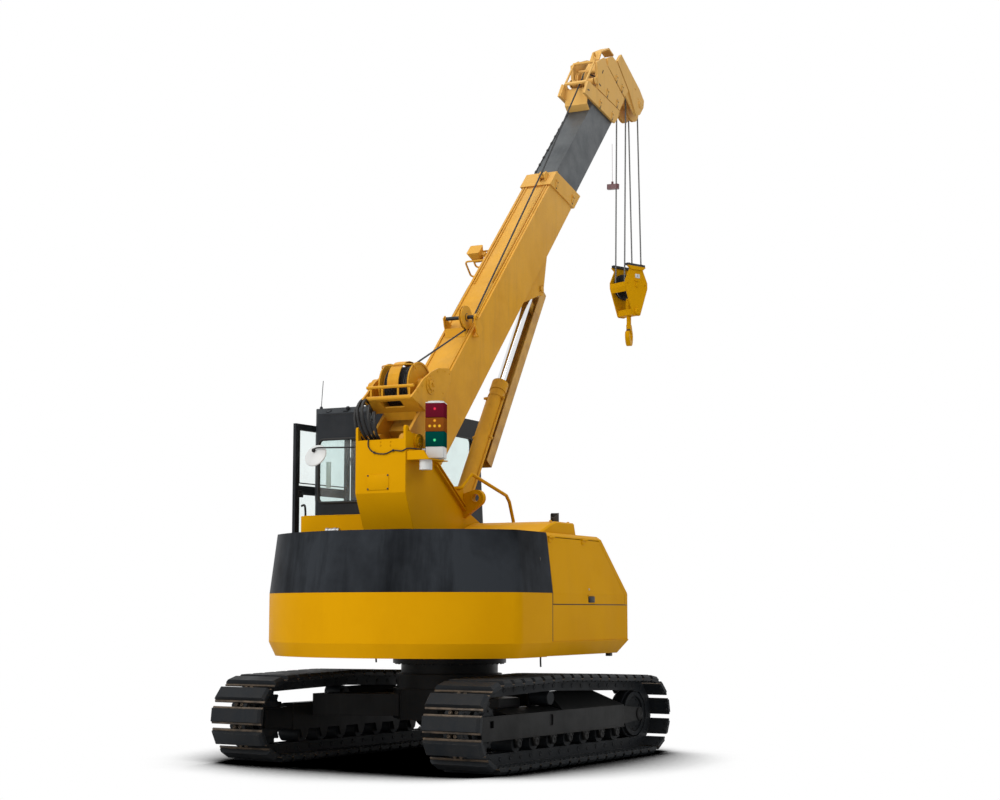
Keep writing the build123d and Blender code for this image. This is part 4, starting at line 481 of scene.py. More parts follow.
# Tracks: worn lips between the pads, round marks, pin ends and nuts
trackSettings = {
    "links": 43, "middle": 1195.0, "sprocket": (-1390.0, 400.0, 289.0), "idler": (1405.0, 385.0, 274.0),
    "crest": (-250.0, 715.0), "arcSteps": 60, "halfWidth": 299.0, "markY": 33.0, "railY": 90.0,
    "lip": ((4.5, 58.0), (4.5, 68.5), (21.5, 73.0), (21.5, 62.0)), "lipBevel": 1.2,
    "nutX": 36.0, "nutInset": 24.0, "nutHeight": 52.0, "nutSize": 26.0,
    "mark": ((17.0, 30.0), (17.0, 60.0), (13.0, 64.0), (9.0, 60.0), (7.0, 52.0), (0.0, 52.0)),
    "pinEnd": ((21.0, -1.0), (21.0, 3.0), (16.0, 6.0), (12.0, 4.0), (0.0, 4.0)),
}


def loopPins(cfg):
    rear, front, crest = cfg["sprocket"], cfg["idler"], cfg["crest"]
    touches = []
    for wheel in (rear, front):
        away, rise = abs(crest[0] - wheel[0]), crest[1] - wheel[1]
        lean = pi / 2 - atan2(rise, away) - acos(wheel[2] / hypot(away, rise))
        touches.append(pi / 2 + lean if wheel[0] < 0 else pi / 2 - lean)
    path = [(rear[0] + rear[2] * cos(touches[0]), rear[1] + rear[2] * sin(touches[0])), crest]
    for wheel, first, last in ((front, touches[1], -pi / 2), (rear, 1.5 * pi, touches[0])):
        for k in range(cfg["arcSteps"] + 1):
            turn = first + (last - first) * k / cfg["arcSteps"]
            path.append((wheel[0] + wheel[2] * cos(turn), wheel[1] + wheel[2] * sin(turn)))
    lengths = [hypot(b[0] - a[0], b[1] - a[1]) for a, b in zip(path, path[1:])]
    pitch = sum(lengths) / cfg["links"]
    pins = []
    for number in range(cfg["links"]):
        rest = number * pitch
        for (a, b), length in zip(zip(path, path[1:]), lengths):
            if rest <= length:
                share = rest / length
                pins.append((a[0] + (b[0] - a[0]) * share, a[1] + (b[1] - a[1]) * share))
                break
            rest -= length
    return pins, pitch


wheelSettings = {
    "rollers": 7, "pitch": 300.0, "face": 1350.0, "height": 231.3, "boltStep": 46.0, "boltHeight": 262.0,
    "rollerCap": ((40.0, -2.0), (40.0, 6.0), (34.0, 10.0), (18.0, 10.0), (14.0, 7.0), (0.0, 7.0)),
    "idlerCap": ((62.0, -2.0), (62.0, 8.0), (54.0, 13.0), (20.0, 13.0), (16.0, 9.0), (0.0, 9.0)),
    "idlerFace": 1330.0, "bolts": 12,
    "hubs": (("sprocket", 155.0, 1293.0, 20.0), ("idler", 150.0, 1253.0, 16.0)),
}
pins, linkPitch = loopPins(trackSettings)
for sideName, side in (("Left", 1), ("Right", -1)):
    cfg = trackSettings
    middle, half = side * cfg["middle"], cfg["halfWidth"]
    lips, marks, ends, caps = bmesh.new(), bmesh.new(), bmesh.new(), bmesh.new()
    for number, (ax, az) in enumerate(pins):
        bx, bz = pins[(number + 1) % len(pins)]
        px, pz = pins[number - 1]
        place = spot(((ax + bx) / 2, middle, (az + bz) / 2), -degrees(atan2(bz - az, bx - ax)))
        outward = place.to_3x3() @ -up
        lean = Vector((pz - bz, 0.0, bx - px)).normalized()
        for end in (-1, 1):
            lip = [(end * (linkPitch / 2 - back), rise) for back, rise in cfg["lip"]]
            addPrism(lips, lip, -half, half, "Y", cfg["lipBevel"], place)
            for x in (-cfg["nutX"], cfg["nutX"]):
                addBolt(ends, place @ Vector((x, end * (half - cfg["nutInset"]), cfg["nutHeight"])), outward,
                        cfg["nutSize"])
            addLathe(marks, cfg["mark"], (ax, middle + end * cfg["markY"], az), lean, 12)
            addLathe(ends, cfg["pinEnd"], (ax, middle + end * cfg["railY"], az), end * left, 12)
    finishPiece(f"shoeLips{sideName}", lips, chassisFrame, "wornSteel", "undercarriage")
    finishPiece(f"linkMarks{sideName}", marks, chassisFrame, "wornSteel", "undercarriage")
    finishPiece(f"pinEnds{sideName}", ends, chassisFrame, "trackSteel", "undercarriage")
    cfg = wheelSettings
    for number in range(cfg["rollers"]):
        x = (number - cfg["rollers"] // 2) * cfg["pitch"]
        addLathe(caps, cfg["rollerCap"], (x, side * cfg["face"], cfg["height"]), side * left, 20)
        for step in (-cfg["boltStep"], cfg["boltStep"]):
            addBolt(caps, (x + step, side * cfg["face"], cfg["boltHeight"]), side * left, 18.0)
    idler = trackSettings["idler"]
    addLathe(caps, cfg["idlerCap"], (idler[0], side * cfg["idlerFace"], idler[1]), side * left, 28)
    for wheel, radius, face, size in cfg["hubs"]:
        for x, z in circlePoints(cfg["bolts"], radius, trackSettings[wheel]):
            addBolt(caps, (x, side * face, z), side * left, size)
    finishPiece(f"wheelCaps{sideName}", caps, chassisFrame, "chassisBlack", "undercarriage")

ringSettings = {"bolts": 36, "radius": 520.0, "height": 900.0, "size": 26.0}
bm = bmesh.new()
for x, y in circlePoints(ringSettings["bolts"], ringSettings["radius"]):
    addBolt(bm, (x, y, ringSettings["height"]), -up, ringSettings["size"])
finishPiece("ringBolts", bm, toMetres, "chassisBlack", "upper")
print("stage: tracks dressed")

# Hoist rope in (along, y, height) from the boom's foot: coil, line over the boom, turns round the sheaves
ropeSettings = {
    "radius": 9.0, "drum": (557.0, 220.0), "coilRadius": 166.0, "layers": 2, "layerStep": 17.0, "turns": 14,
    "turnSteps": 28, "coilLow": -132.0, "coilPitch": 18.6, "leave": 191.0, "guide": (1835.0, 68.0),
    "roller": (4534.0, 6.0), "run": [(4900.0, -64.0, 75.0), (5500.0, -55.0, 117.0), (6100.0, -45.0, 160.0)],
    "headGuide": (6450.0, 80.0), "head": (7436.8, -840.9), "sheave": 190.0,
    "stretch": ((4800.0, 0.0, 70.0), (6200.0, 0.0, 160.0)),
    "headAxle": (4665.0, 7670.0), "headWraps": ((-60.0, 98.0), (60.0, 0.0)),
    "blockAxle": (0.0, 5380.0), "blockRadius": 146.0, "blockY": (-78.0, 78.0),
}
cfg = ropeSettings
bm = bmesh.new()
for layer in range(cfg["layers"]):
    coil = []
    for k in range(cfg["turns"] * cfg["turnSteps"] + 1):
        turn, radius = 2 * pi * k / cfg["turnSteps"], cfg["coilRadius"] + cfg["layerStep"] * layer
        coil.append((cfg["drum"][0] + radius * cos(turn),
                     cfg["coilLow"] + cfg["coilPitch"] * k / cfg["turnSteps"],
                     cfg["drum"][1] + radius * sin(turn)))
    addTube(bm, coil, cfg["radius"], 6)
finishPiece("ropeCoil", bm, boomFrame, "ropeDark", "boom")
line = arcPoints(cfg["drum"], cfg["leave"], 100.0, 70.8, -96.0, 4)
line += arcPoints(cfg["guide"], 111.0, 250.4, 265.4, -116.0, 3)
line += arcPoints(cfg["roller"], 45.0, 94.0, 85.4, -72.0, 2)
line += cfg["run"] + arcPoints(cfg["headGuide"], 105.0, 94.0, 50.6, -40.0, 8)
line += arcPoints(cfg["head"], cfg["sheave"], 50.6, -45.6, -60.0, 14)
bm = bmesh.new()
addTube(bm, line, cfg["radius"], 8)
finishPiece("hoistLine", bm, boomFrame, "ropeDark", "boom", "fly", *cfg["stretch"])
bm = bmesh.new()
for y, first in cfg["headWraps"]:
    addTube(bm, arcPoints(cfg["headAxle"], cfg["sheave"], first, 180.0, y, 20), cfg["radius"], 8)
finishPiece("headWraps", bm, toMetres, "ropeSteel", "fly")
bm = bmesh.new()
for y in cfg["blockY"]:
    addTube(bm, arcPoints(cfg["blockAxle"], cfg["blockRadius"], 180.0, 360.0, y, 20), cfg["radius"], 8)
finishPiece("blockWraps", bm, blockFrame, "ropeSteel", "hook_block")

# Black hoses from the boom foot tower to the winch, with a sleeve at each end
hoseSettings = {
    "radius": 15.0, "sleeve": ((0.0, -6.0), (20.0, -6.0), (20.0, 34.0), (15.0, 38.0)),
    "bend": ((-1330.0, 150.0, 3040.0), (-1080.0, 280.0, 3300.0)),
    "paths": (
        ((-1240, 225, 2930), (-1330, 270, 3060), (-1310, 300, 3250), (-1150, 300, 3330), (-1010, 300, 3290)),
        ((-1230, 180, 2930), (-1350, 215, 3070), (-1360, 250, 3260), (-1180, 280, 3370), (-1000, 295, 3310)),
        ((-1220, 135, 2930), (-1350, 160, 3060), (-1385, 190, 3230), (-1230, 240, 3350), (-1020, 290, 3250)),
        ((-1215, 95, 2930), (-1330, 110, 3030), (-1370, 130, 3180), (-1250, 190, 3290), (-1030, 285, 3220)),
        ((-1210, 60, 2930), (-1310, 70, 3010), (-1340, 80, 3130), (-1240, 140, 3230), (-1040, 280, 3190)),
    ),
}
for number, corners in enumerate(hoseSettings["paths"]):
    bm = bmesh.new()
    path = smoothPath(corners, 9)
    addTube(bm, path, hoseSettings["radius"], 10)
    for end, nextPoint in ((path[0], path[1]), (path[-1], path[-2])):
        addLathe(bm, hoseSettings["sleeve"], end, nextPoint - end, 12)
    finishPiece(f"winchHose{number + 1}", bm, toMetres, "rubberBlack", "upper", "boom",
                *hoseSettings["bend"])
print("stage: rope and hoses made")


def addClips(bm, places, face, lean, half, boltAt, boltSize):  # bars with a bolt, on both sides of the boom
    for side in (-1, 1):
        for s, h in places:
            tilt = spot((s, side * face, h), lean)
            addBox(bm, (-half[0], min(-side, side * half[1]), -half[2]),
                   (half[0], max(-side, side * half[1]), half[2]), 3.0, tilt)
            addBolt(bm, tilt @ Vector((boltAt, side * half[1], 0.0)), side * left, boltSize)


def paintedClipShadows(name, places, face, body):  # dark sheets painted as the clips' shadows, just proud of the plate
    bm = bmesh.new()
    loop = roundedLoop(-30.0, 30.0, -7.0, 7.0, 6.9, 4)
    for side in (-1, 1):
        for s, h in places:
            for along, lean in ((-34.0, 20), (38.0, -70)):
                place = spot((s, side * face, h), -30) @ spot((along, 0.0, -20.0), lean)
                addPrism(bm, loop, min(-1.0, side * 3.0), max(1.0, side * 3.0), "Y", 0.0, place)
    finishPiece(name, bm, boomFrame, "rubberBlack", body)


# Boom base: winch plate bolts and boss, adjuster clips, cheek pins, guard wire
boomSettings = {
    "winch": (557.0, 220.0), "winchFace": 279.0, "winchBolts": (8, 62.0, 15.0), "plateFace": 270.0,
    "plateSize": 14.0,
    "plateBolts": ((330, 330), (430, 318), (620, 282), (760, 225), (880, 130), (930, 60), (700, 10),
                   (360, 120)),
    "clips": ((4544, -122), (4787, -490)), "clipFace": 186.0, "clipLean": -32, "clipHalf": (48.0, 9.0, 17.0),
    "cheek": (3483.0, -786.0), "cheekFace": 124.0,
    "cheekBolts": ((-51.46, 0.0), (51.46, 0.0), (0.0, -51.46)), "cheekSize": 12.0,
    "cheekPin": ((31.0, -3.0), (31.0, 8.0), (25.0, 12.0), (0.0, 12.0)),
    "guideBolts": ((-248.0, -1), (124.0, 1)), "footHeight": -44.0,
    "footBolts": ((1730.0, -60.0), (1730.0, 60.0), (1770.0, -60.0), (1770.0, 60.0)),
    "wire": ((585, 176, 400), (585, 172, 446), (583, 140, 468), (580, 0, 471), (583, -140, 468),
             (585, -172, 446), (585, -176, 400)), "wireRadius": 6.0, "bossFace": -277.0,
    "boss": ((47.0, -4.0), (47.0, 8.0), (40.0, 14.0), (24.0, 14.0), (20.0, 5.0), (0.0, 5.0)),
}
cfg = boomSettings
bm = bmesh.new()
count, radius, size = cfg["winchBolts"]
for side in (-1, 1):
    for s, h in circlePoints(count, radius, cfg["winch"]):
        addBolt(bm, (s, side * cfg["winchFace"], h), side * left, size)
    for s, h in cfg["plateBolts"]:
        addBolt(bm, (s, side * cfg["plateFace"], h), side * left, cfg["plateSize"])
    s, h = cfg["cheek"]
    for ds, dh in cfg["cheekBolts"]:
        addBolt(bm, (s + ds, side * cfg["cheekFace"], h + dh), side * left, cfg["cheekSize"])
    addLathe(bm, cfg["cheekPin"], (s, side * cfg["cheekFace"], h), side * left, 24)
addClips(bm, cfg["clips"], cfg["clipFace"], cfg["clipLean"], cfg["clipHalf"], 28.0, 30.0)
guide = ropeSettings["guide"]
for y, side in cfg["guideBolts"]:
    addBolt(bm, (guide[0], y, guide[1]), side * left, 30.0)
for s, y in cfg["footBolts"]:
    addBolt(bm, (s, y, cfg["footHeight"]), up, 14.0)
addTube(bm, smoothPath(cfg["wire"], 5), cfg["wireRadius"], 8)
addLathe(bm, cfg["boss"], (cfg["winch"][0], cfg["bossFace"], cfg["winch"][1]), -left, 30)
finishPiece("boomFittings", bm, boomFrame, "boomYellow", "boom")

# Boom head: clips, pin caps with their bolts, and painted shade in the slots of the plates
headSettings = {
    "clips": ((6326, -160), (6543, -457), (6615, -182), (6792, -432), (7001, -212), (7066, -387)),
    "clipFace": 174.0, "clipLean": -28, "clipHalf": (40.0, 8.0, 15.0),
    "caps": (((7436.8, -840.9), 52.0, 178.0), ((6450.0, 80.0), 46.0, 156.0)), "capBolts": (4, 0.62, 11.0),
    "bolts": ((7437, -620), (7425, -755)), "boltSize": 20.0,
    "slots": ((6144, 134, 40), (6682, 64, -10), (6491, -4, 60)),
}
cfg = headSettings
bm = bmesh.new()
count, share, size = cfg["capBolts"]
for side in (-1, 1):
    for (s, h), radius, face in cfg["caps"]:
        cap = [(radius, -2.0), (radius, 9.0), (radius - 6.0, 13.0), (16.0, 13.0), (0.0, 10.0)]
        addLathe(bm, cap, (s, side * face, h), side * left, 26)
        for boltS, boltH in circlePoints(count, radius * share, (s, h), 0.5):
            addBolt(bm, (boltS, side * (face + 12.0), boltH), side * left, size)
    for s, h in cfg["bolts"]:
        addBolt(bm, (s, side * 178.0, h), side * left, cfg["boltSize"])
addClips(bm, cfg["clips"], cfg["clipFace"], cfg["clipLean"], cfg["clipHalf"], 24.0, 28.0)
finishPiece("headFittings", bm, boomFrame, "boomYellow", "fly")
paintedClipShadows("boomClipPaintedShadows", boomSettings["clips"], boomSettings["clipFace"], "boom")
paintedClipShadows("headClipPaintedShadows", cfg["clips"], cfg["clipFace"], "fly")
# painted shade: dark sheets where the plates' slots are
bm = bmesh.new()
for side in (-1, 1):
    for s, h, lean in cfg["slots"]:
        addPrism(bm, roundedLoop(-30.0, 30.0, -8.0, 8.0, 7.9, 4), min(-1.0, side * 2.0),
                 max(1.0, side * 2.0), "Y", 0.0, spot((s, side * cfg["clipFace"], h), lean))
finishPiece("headSlotShade", bm, boomFrame, "rubberBlack", "fly")

# Rope guide: black sleeves on its axle and turned rings on its disc
guideSettings = {
    "sleeves": ((((14.0, 0.0), (19.0, 2.0), (19.0, 188.0), (14.0, 190.0)), -90.0, 1, 20),
                (((24.0, 0.0), (40.0, 2.0), (40.0, 10.0), (24.0, 14.0)), -136.0, 1, 24),
                (((14.0, 0.0), (19.0, 2.0), (19.0, 78.0), (14.0, 80.0)), -142.0, -1, 20)),
    "rings": ((113.0, 0.0), (113.0, 13.0), (104.0, 15.0), (98.0, 10.0), (72.0, 9.0), (64.0, 13.0),
              (48.0, 14.0), (40.0, 10.0), (0.0, 10.0)), "ringFace": -116.0,
}
bm = bmesh.new()
for profile, y, side, segments in guideSettings["sleeves"]:
    addLathe(bm, profile, (guide[0], y, guide[1]), side * left, segments)
finishPiece("guideSleeve", bm, boomFrame, "rubberBlack", "boom")
bm = bmesh.new()
addLathe(bm, guideSettings["rings"], (guide[0], guideSettings["ringFace"], guide[1]), -left, 40)
finishPiece("guideRings", bm, boomFrame, "boomYellow", "boom")

# Cables along the boom: to the head, held by bridges, and to the lamp
cableSettings = {
    "head": ((4665, 127, -77), (5300, 127, -77), (5900, 127, -77), (6130, 128, -74)), "headRadius": 4.5,
    "bridges": 9, "bridgePitch": 150.0, "bridgeLow": (4760.0, 116.0, -83.0),
    "bridgeHigh": (4800.0, 138.0, -71.0),
    "stretch": ((4665.0, 127.0, -77.0), (6100.0, 127.0, -77.0)), "lampRadius": 6.0,
    "lamp": ((3145, 260, -118), (3120, 215, -150), (3040, 178, -100), (2500, 176, -70), (1000, 176, -70),
             (620, 222, -40)),
}
cfg = cableSettings
bm = bmesh.new()
addTube(bm, smoothPath(cfg["head"], 6), cfg["headRadius"], 8)
for number in range(cfg["bridges"]):
    step = forward * cfg["bridgePitch"] * number
    addBox(bm, Vector(cfg["bridgeLow"]) + step, Vector(cfg["bridgeHigh"]) + step, 2.0)
finishPiece("headCable", bm, boomFrame, "rubberBlack", "boom", "fly", *cfg["stretch"])
bm = bmesh.new()
addTube(bm, smoothPath(cfg["lamp"], 8), cfg["lampRadius"], 8)
finishPiece("boomLampCable", bm, boomFrame, "rubberBlack", "boom")

# Lift cylinder: guard brackets, ports and the bolts of its gland
cylinderSettings = {
    "brackets": (700.0, 1500.0, 2300.0), "bracketHalf": (14.0, 18.0, 20.0), "bracketY": 91.0,
    "boltSize": 14.0,
    "port": ((0.0, 0.0), (17.0, 0.0), (17.0, 22.0), (13.0, 24.0), (13.0, 40.0), (0.0, 42.0)),
    "portAt": (2820.0, 84.0, 14.0), "glandBolts": (10, 68.0, 13.0), "glandAt": 3030.0,
}
cfg = cylinderSettings
bm = bmesh.new()
halfX, halfY, halfZ = cfg["bracketHalf"]
for side in (-1, 1):
    y = side * cfg["bracketY"]
    for s in cfg["brackets"]:
        addBox(bm, (s - halfX, y - halfY, -halfZ), (s + halfX, y + halfY, halfZ), 4.0)
        addBolt(bm, (s, y, halfZ), up, cfg["boltSize"])
    s, y, h = cfg["portAt"]
    addLathe(bm, cfg["port"], (s, side * y, h), (-0.4, side, 0.5), 6)
count, radius, size = cfg["glandBolts"]
for y, h in circlePoints(count, radius):
    addBolt(bm, (cfg["glandAt"], y, h), forward, size)
finishPiece("cylinderFittings", bm, rodFrame, "boomYellow", "lift_tube")

# Hook block: bosses, bolts, keeper plates and nut, the plate on its side and the hook's latch
blockSettings = {
    "face": 138.0, "axle": 5052.0, "sideBolts": (-150.0, 150.0), "boltHeight": 5392.0, "boltSize": 16.0,
    "boss": ((44.0, -1.0), (44.0, 10.0), (36.0, 16.0), (20.0, 16.0), (16.0, 11.0), (0.0, 11.0)),
    "keeper": (30.0, 9.0, 5424.0, 5444.0), "topBolts": ((-110, -128), (-110, 128), (110, -128), (110, 128)),
    "topHeight": 5644.0, "nut": ((0.0, 0.0), (34.0, 0.0), (34.0, 26.0), (28.0, 31.0), (0.0, 31.0)),
    "nutHeight": 5196.0, "plate": ((-20.0, -140.5, 5470.0), (58.0, -137.5, 5520.0)),
    "rivetAt": (19.0, -140.0, 5495.0), "rivet": ((7.0, 0.0), (7.0, 2.0), (0.0, 2.5)),
    "latch": ((-24.0, 4832.0), (-86.0, 4806.0), (-90.0, 4814.0), (-28.0, 4844.0)), "latchHalf": 16.0,
    "latchPin": ((9.0, -22.0), (9.0, 22.0), (5.0, 26.0), (0.0, 26.0)), "latchPinAt": (-26.0, 0.0, 4836.0),
}
cfg = blockSettings
bm = bmesh.new()
for side in (-1, 1):
    face = side * cfg["face"]
    addLathe(bm, cfg["boss"], (0.0, face + side * 10.0, cfg["axle"]), side * left, 26)
    for x in cfg["sideBolts"]:
        addBolt(bm, (x, face, cfg["boltHeight"]), side * left, cfg["boltSize"])
    half, thick, low, high = cfg["keeper"]
    outer = face + side * thick
    addBox(bm, (-half, min(face, outer), low), (half, max(face, outer), high), 3.0)
for x, y in cfg["topBolts"]:
    addBolt(bm, (x, y, cfg["topHeight"]), up, cfg["boltSize"])
addLathe(bm, cfg["nut"], up * cfg["nutHeight"], up, 6)
finishPiece("blockFittings", bm, blockFrame, "bodyYellow", "hook_block")
bm = bmesh.new()
addBox(bm, *cfg["plate"], 1.0)
finishPiece("blockPlate", bm, blockFrame, "whitePlastic", "hook_block")
bm = bmesh.new()
addLathe(bm, cfg["rivet"], cfg["rivetAt"], -left, 14)
finishPiece("blockPlateRivet", bm, blockFrame, "darkMetal", "hook_block")
bm = bmesh.new()
addPrism(bm, cfg["latch"], -cfg["latchHalf"], cfg["latchHalf"], "Y", 1.5)
addLathe(bm, cfg["latchPin"], cfg["latchPinAt"], left, 12)
finishPiece("hookLatch", bm, hookFrame, "darkMetal", "hook")
print("stage: boom dressed")

# Boom foot tower: cover, bolts, pin caps with their keepers, ear ring
towerSettings = {
    "cover": ((-1364.0, -91.0, 2496.0), (-1359.0, 140.0, 2641.0)), "rear": -1360.0, "boltSize": 13.0,
    "rearBolts": ((0, 2938), (0, 2906), (-105, 2936), (-105, 2902)), "pin": (-1139.0, 283.0, 2945.0),
    "pinCap": ((46.0, -2.0), (46.0, 6.0), (40.0, 11.0), (16.0, 11.0), (12.0, 8.0), (0.0, 8.0)),
    "keeper": ((-1180.0, 2876.0), (-1098.0, 2896.0)), "keeperBolts": (-1168.0, -1110.0), "keeperThick": 10.0,
    "ear": ((50.0, -1.0), (50.0, 5.0), (44.0, 8.0), (37.5, 8.0), (37.5, -1.0)),
    "earAt": (-230.0, -401.0, 2477.0),
    "shelfBolts": ((-1300, -300, 2775), (-1300, -470, 2775), (-1010, -300, 2775)),
    "screws": ((129, 2630), (-80, 2630), (129, 2507), (-80, 2507)),
    "screw": ((9.0, -1.0), (9.0, 2.0), (6.0, 4.0), (0.0, 2.5)),
}
cfg = towerSettings
bm = bmesh.new()
addBox(bm, *cfg["cover"], 1.5)
for y, z in cfg["rearBolts"]:
    addBolt(bm, (cfg["rear"], y, z), -forward, cfg["boltSize"])
for side in (-1, 1):
    face = side * cfg["pin"][1]
    outer = face + side * cfg["keeperThick"]
    addLathe(bm, cfg["pinCap"], (cfg["pin"][0], face, cfg["pin"][2]), side * left, 28)
    (lowX, lowZ), (highX, highZ) = cfg["keeper"]
    addBox(bm, (lowX, min(face, outer), lowZ), (highX, max(face, outer), highZ), 3.0)
    for x in cfg["keeperBolts"]:
        addBolt(bm, (x, outer, (lowZ + highZ) / 2), side * left, 15.0)
addLathe(bm, cfg["ear"], cfg["earAt"], -forward, 32)
for place in cfg["shelfBolts"]:
    addBolt(bm, place, up, 14.0)
finishPiece("towerFittings", bm, toMetres, "bodyYellow", "upper")
bm = bmesh.new()
for y, z in cfg["screws"]:
    addLathe(bm, cfg["screw"], (cfg["cover"][0][0], y, z), -forward, 12)
finishPiece("coverScrews", bm, toMetres, "darkMetal", "upper")

# Signal lamps: square lenses in three colours with rims above and below
lensSettings = {
    "centre": (-1.065, -0.420, 0.0), "turn": 20, "half": 90.0, "corner": 14.0,
    "levels": ((2896.0, 3033.0), (3037.0, 3163.0), (3167.0, 3298.0)),
    "rims": ((2792.0, 2895.0, 87.0), (3298.0, 3306.0, 90.0)),
}
cfg = lensSettings
lensFrame = spot(cfg["centre"], cfg["turn"], "Z") @ toMetres


def squareStack(name, levels, finish):
    bm = bmesh.new()
    for low, high, half in levels:
        addPrism(bm, roundedLoop(-half, half, -half, half, lensSettings["corner"], 4), low, high, "Z", 2.0)
    return finishPiece(name, bm, lensFrame, finish, "upper")


lensColumn = squareStack("lensColumn", [(*span, cfg["half"]) for span in cfg["levels"]], "lampLenses")
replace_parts(lensColumn, "lamp_lenses")
squareStack("lensRims", cfg["rims"], "whitePlastic")

# Signal cable on the tower's rear plate, two clamps and its plug
signalSettings = {
    "radius": 6.0,
    "path": ((-1330, 128, 2940), (-1352, 128, 2968), (-1368, 126, 2960), (-1369, 122, 2895),
             (-1369, 62, 2842),
             (-1369, -50, 2826), (-1369, -139, 2854), (-1369, -227, 2846), (-1352, -276, 2868),
             (-1280, -300, 2872), (-1190, -340, 2868), (-1130, -380, 2862)),
    "clamps": ((-1368.5, 62.0, 2842.0), (-1368.5, -139.0, 2854.0)), "clampHalf": Vector((9.5, 7.0, 10.0)),
    "plug": ((6.0, -4.0), (13.0, 0.0), (13.0, 12.0), (17.0, 14.0), (17.0, 30.0), (12.0, 32.0), (12.0, 58.0),
             (0.0, 60.0)), "plugAt": (-1190.0, -340.0, 2868.0), "plugAxis": (0.72, -0.6, -0.1),
}
cfg = signalSettings
bm = bmesh.new()
addTube(bm, smoothPath(cfg["path"], 7), cfg["radius"], 8)
for place in cfg["clamps"]:
    addBox(bm, Vector(place) - cfg["clampHalf"], Vector(place) + cfg["clampHalf"], 2.0)
finishPiece("signalCable", bm, toMetres, "rubberBlack", "upper")
bm = bmesh.new()
addLathe(bm, cfg["plug"], cfg["plugAt"], cfg["plugAxis"], 14)
finishPiece("signalPlug", bm, toMetres, "brightMetal", "upper")

# Bodywork: door paddle, plug, drains, seams, studs, lock and filler neck
bodySettings = {
    "paddle": ((348.0, 494.0, 1478.0, 1538.0, 12.0, -1328.0, -1321.0),
               (366.0, 476.0, 1484.0, 1520.0, 8.0, -1333.0, -1327.0)),
    "plug": ((16.0, -2.0), (16.0, 3.0), (10.0, 6.0), (0.0, 6.0)), "plugAt": (-683.0, -1294.0, 1869.0),
    "drains": ((-433, -1180, 886, 990), (-1600, -112, 945, 1000)), "drainRadius": 8.0,
    "foot": ((985.0, -1275.0, 955.0), (1045.0, -1225.0, 986.0)),
    "rearSeam": ((-1331.5, 1122.0), (-1331.5, 1563.0), (-1268.0, 2108.0), (-1235.0, 2108.0),
                 (-1290.0, 1563.0), (-1290.0, 1122.0)), "rearSeamX": (-490.5, -481.5),
    "doorSeam": ((-478.0, -1324.0, 1455.0), (1318.0, -1316.0, 1462.0)),
    "studs": ((-791, -600, 2120), (68, -600, 2240), (-791, 300, 2120), (-160, -1160, 2240),
              (240, -1160, 2240)),
    "hingeBolts": (-362.0, -338.0, 398.0, 422.0), "hingeAt": (-1264.0, 2084.0),
    "rearStep": ((-760.0, 330.0, 2306.0), (-520.0, 1210.0, 2319.0)),
    "lock": ((10.0, -1.0), (10.0, 3.0), (6.0, 5.0), (0.0, 4.0)), "lockAt": (378.0, -1317.0, 1605.0),
    "neck": ((0.0, 0.0), (22.0, 0.0), (22.0, 30.0), (27.0, 32.0), (27.0, 62.0), (22.0, 64.0), (22.0, 120.0),
             (26.0, 122.0), (26.0, 146.0), (0.0, 148.0)), "neckAt": (-840.0, 752.0, 2165.0),
    "neckFoot": ((-870.0, 780.0, 2119.0), (-810.0, 860.0, 2150.0)),
}
cfg = bodySettings
bm = bmesh.new()
for *loop, low, high in cfg["paddle"]:
    addPrism(bm, roundedLoop(*loop, 4), low, high, "Y", 1.5)
addLathe(bm, cfg["plug"], cfg["plugAt"], (0.0, -1.0, 0.06), 18)
for x, y, low, high in cfg["drains"]:
    addTube(bm, [(x, y, high), (x, y, (low + high) / 2), (x + 4, y, low)], cfg["drainRadius"], 10)
addBox(bm, *cfg["foot"], 4.0)
finishPiece("bodyTrim", bm, toMetres, "rubberBlack", "upper")
bm = bmesh.new()
addPrism(bm, cfg["rearSeam"], *cfg["rearSeamX"], "X")
addBox(bm, *cfg["doorSeam"], 1.0)
finishPiece("panelSeams", bm, toMetres, "rubberBlack", "upper")
bm = bmesh.new()
for place in cfg["studs"]:
    addBolt(bm, place, up, 26.0)
for x in cfg["hingeBolts"]:
    addBolt(bm, (x, *cfg["hingeAt"]), (0.0, -1.0, 0.12), 9.0)
addBox(bm, *cfg["rearStep"], 4.0)
finishPiece("bodyStuds", bm, toMetres, "bodyYellow", "upper")
bm = bmesh.new()
addLathe(bm, cfg["lock"], cfg["lockAt"], (0.0, -1.0, 0.1), 16)
addLathe(bm, cfg["neck"], cfg["neckAt"], left, 16)
addBox(bm, *cfg["neckFoot"], 4.0)
finishPiece("silverFittings", bm, toMetres, "brightMetal", "upper")

# Mirror: pale dished disc on a black arm
mirrorSettings = {
    "disc": ((0.0, 16.0), (60.0, 13.0), (100.0, 7.0), (114.0, 2.0), (118.0, -6.0), (100.0, -14.0),
             (0.0, -18.0)),
    "centre": (-892.0, 1000.0, 2890.0), "axis": (-0.905, 0.012, 0.424), "armRadius": 8.0,
    "arm": ((-880, 262, 2945), (-885, 500, 2950), (-893, 860, 2960), (-898, 980, 2962), (-903, 1020, 2945)),
    "ball": ((0.0, -16.0), (16.0, -12.0), (20.0, 0.0), (16.0, 12.0), (0.0, 16.0)),
    "ballAt": (-903.0, 1015.0, 2940.0), "foot": ((-905.0, 262.0, 2915.0), (-855.0, 278.0, 2975.0)),
}
cfg = mirrorSettings
bm = bmesh.new()
addLathe(bm, cfg["disc"], cfg["centre"], cfg["axis"], 40)
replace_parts(finishPiece("mirrorDisc", bm, toMetres, "whitePlastic", "upper"), "mirror")
bm = bmesh.new()
addTube(bm, smoothPath(cfg["arm"], 8), cfg["armRadius"], 10)
addLathe(bm, cfg["ball"], cfg["ballAt"], left, 16)
addBox(bm, *cfg["foot"], 4.0)
finishPiece("mirrorArm", bm, toMetres, "rubberBlack", "upper")
print("stage: bodywork dressed")

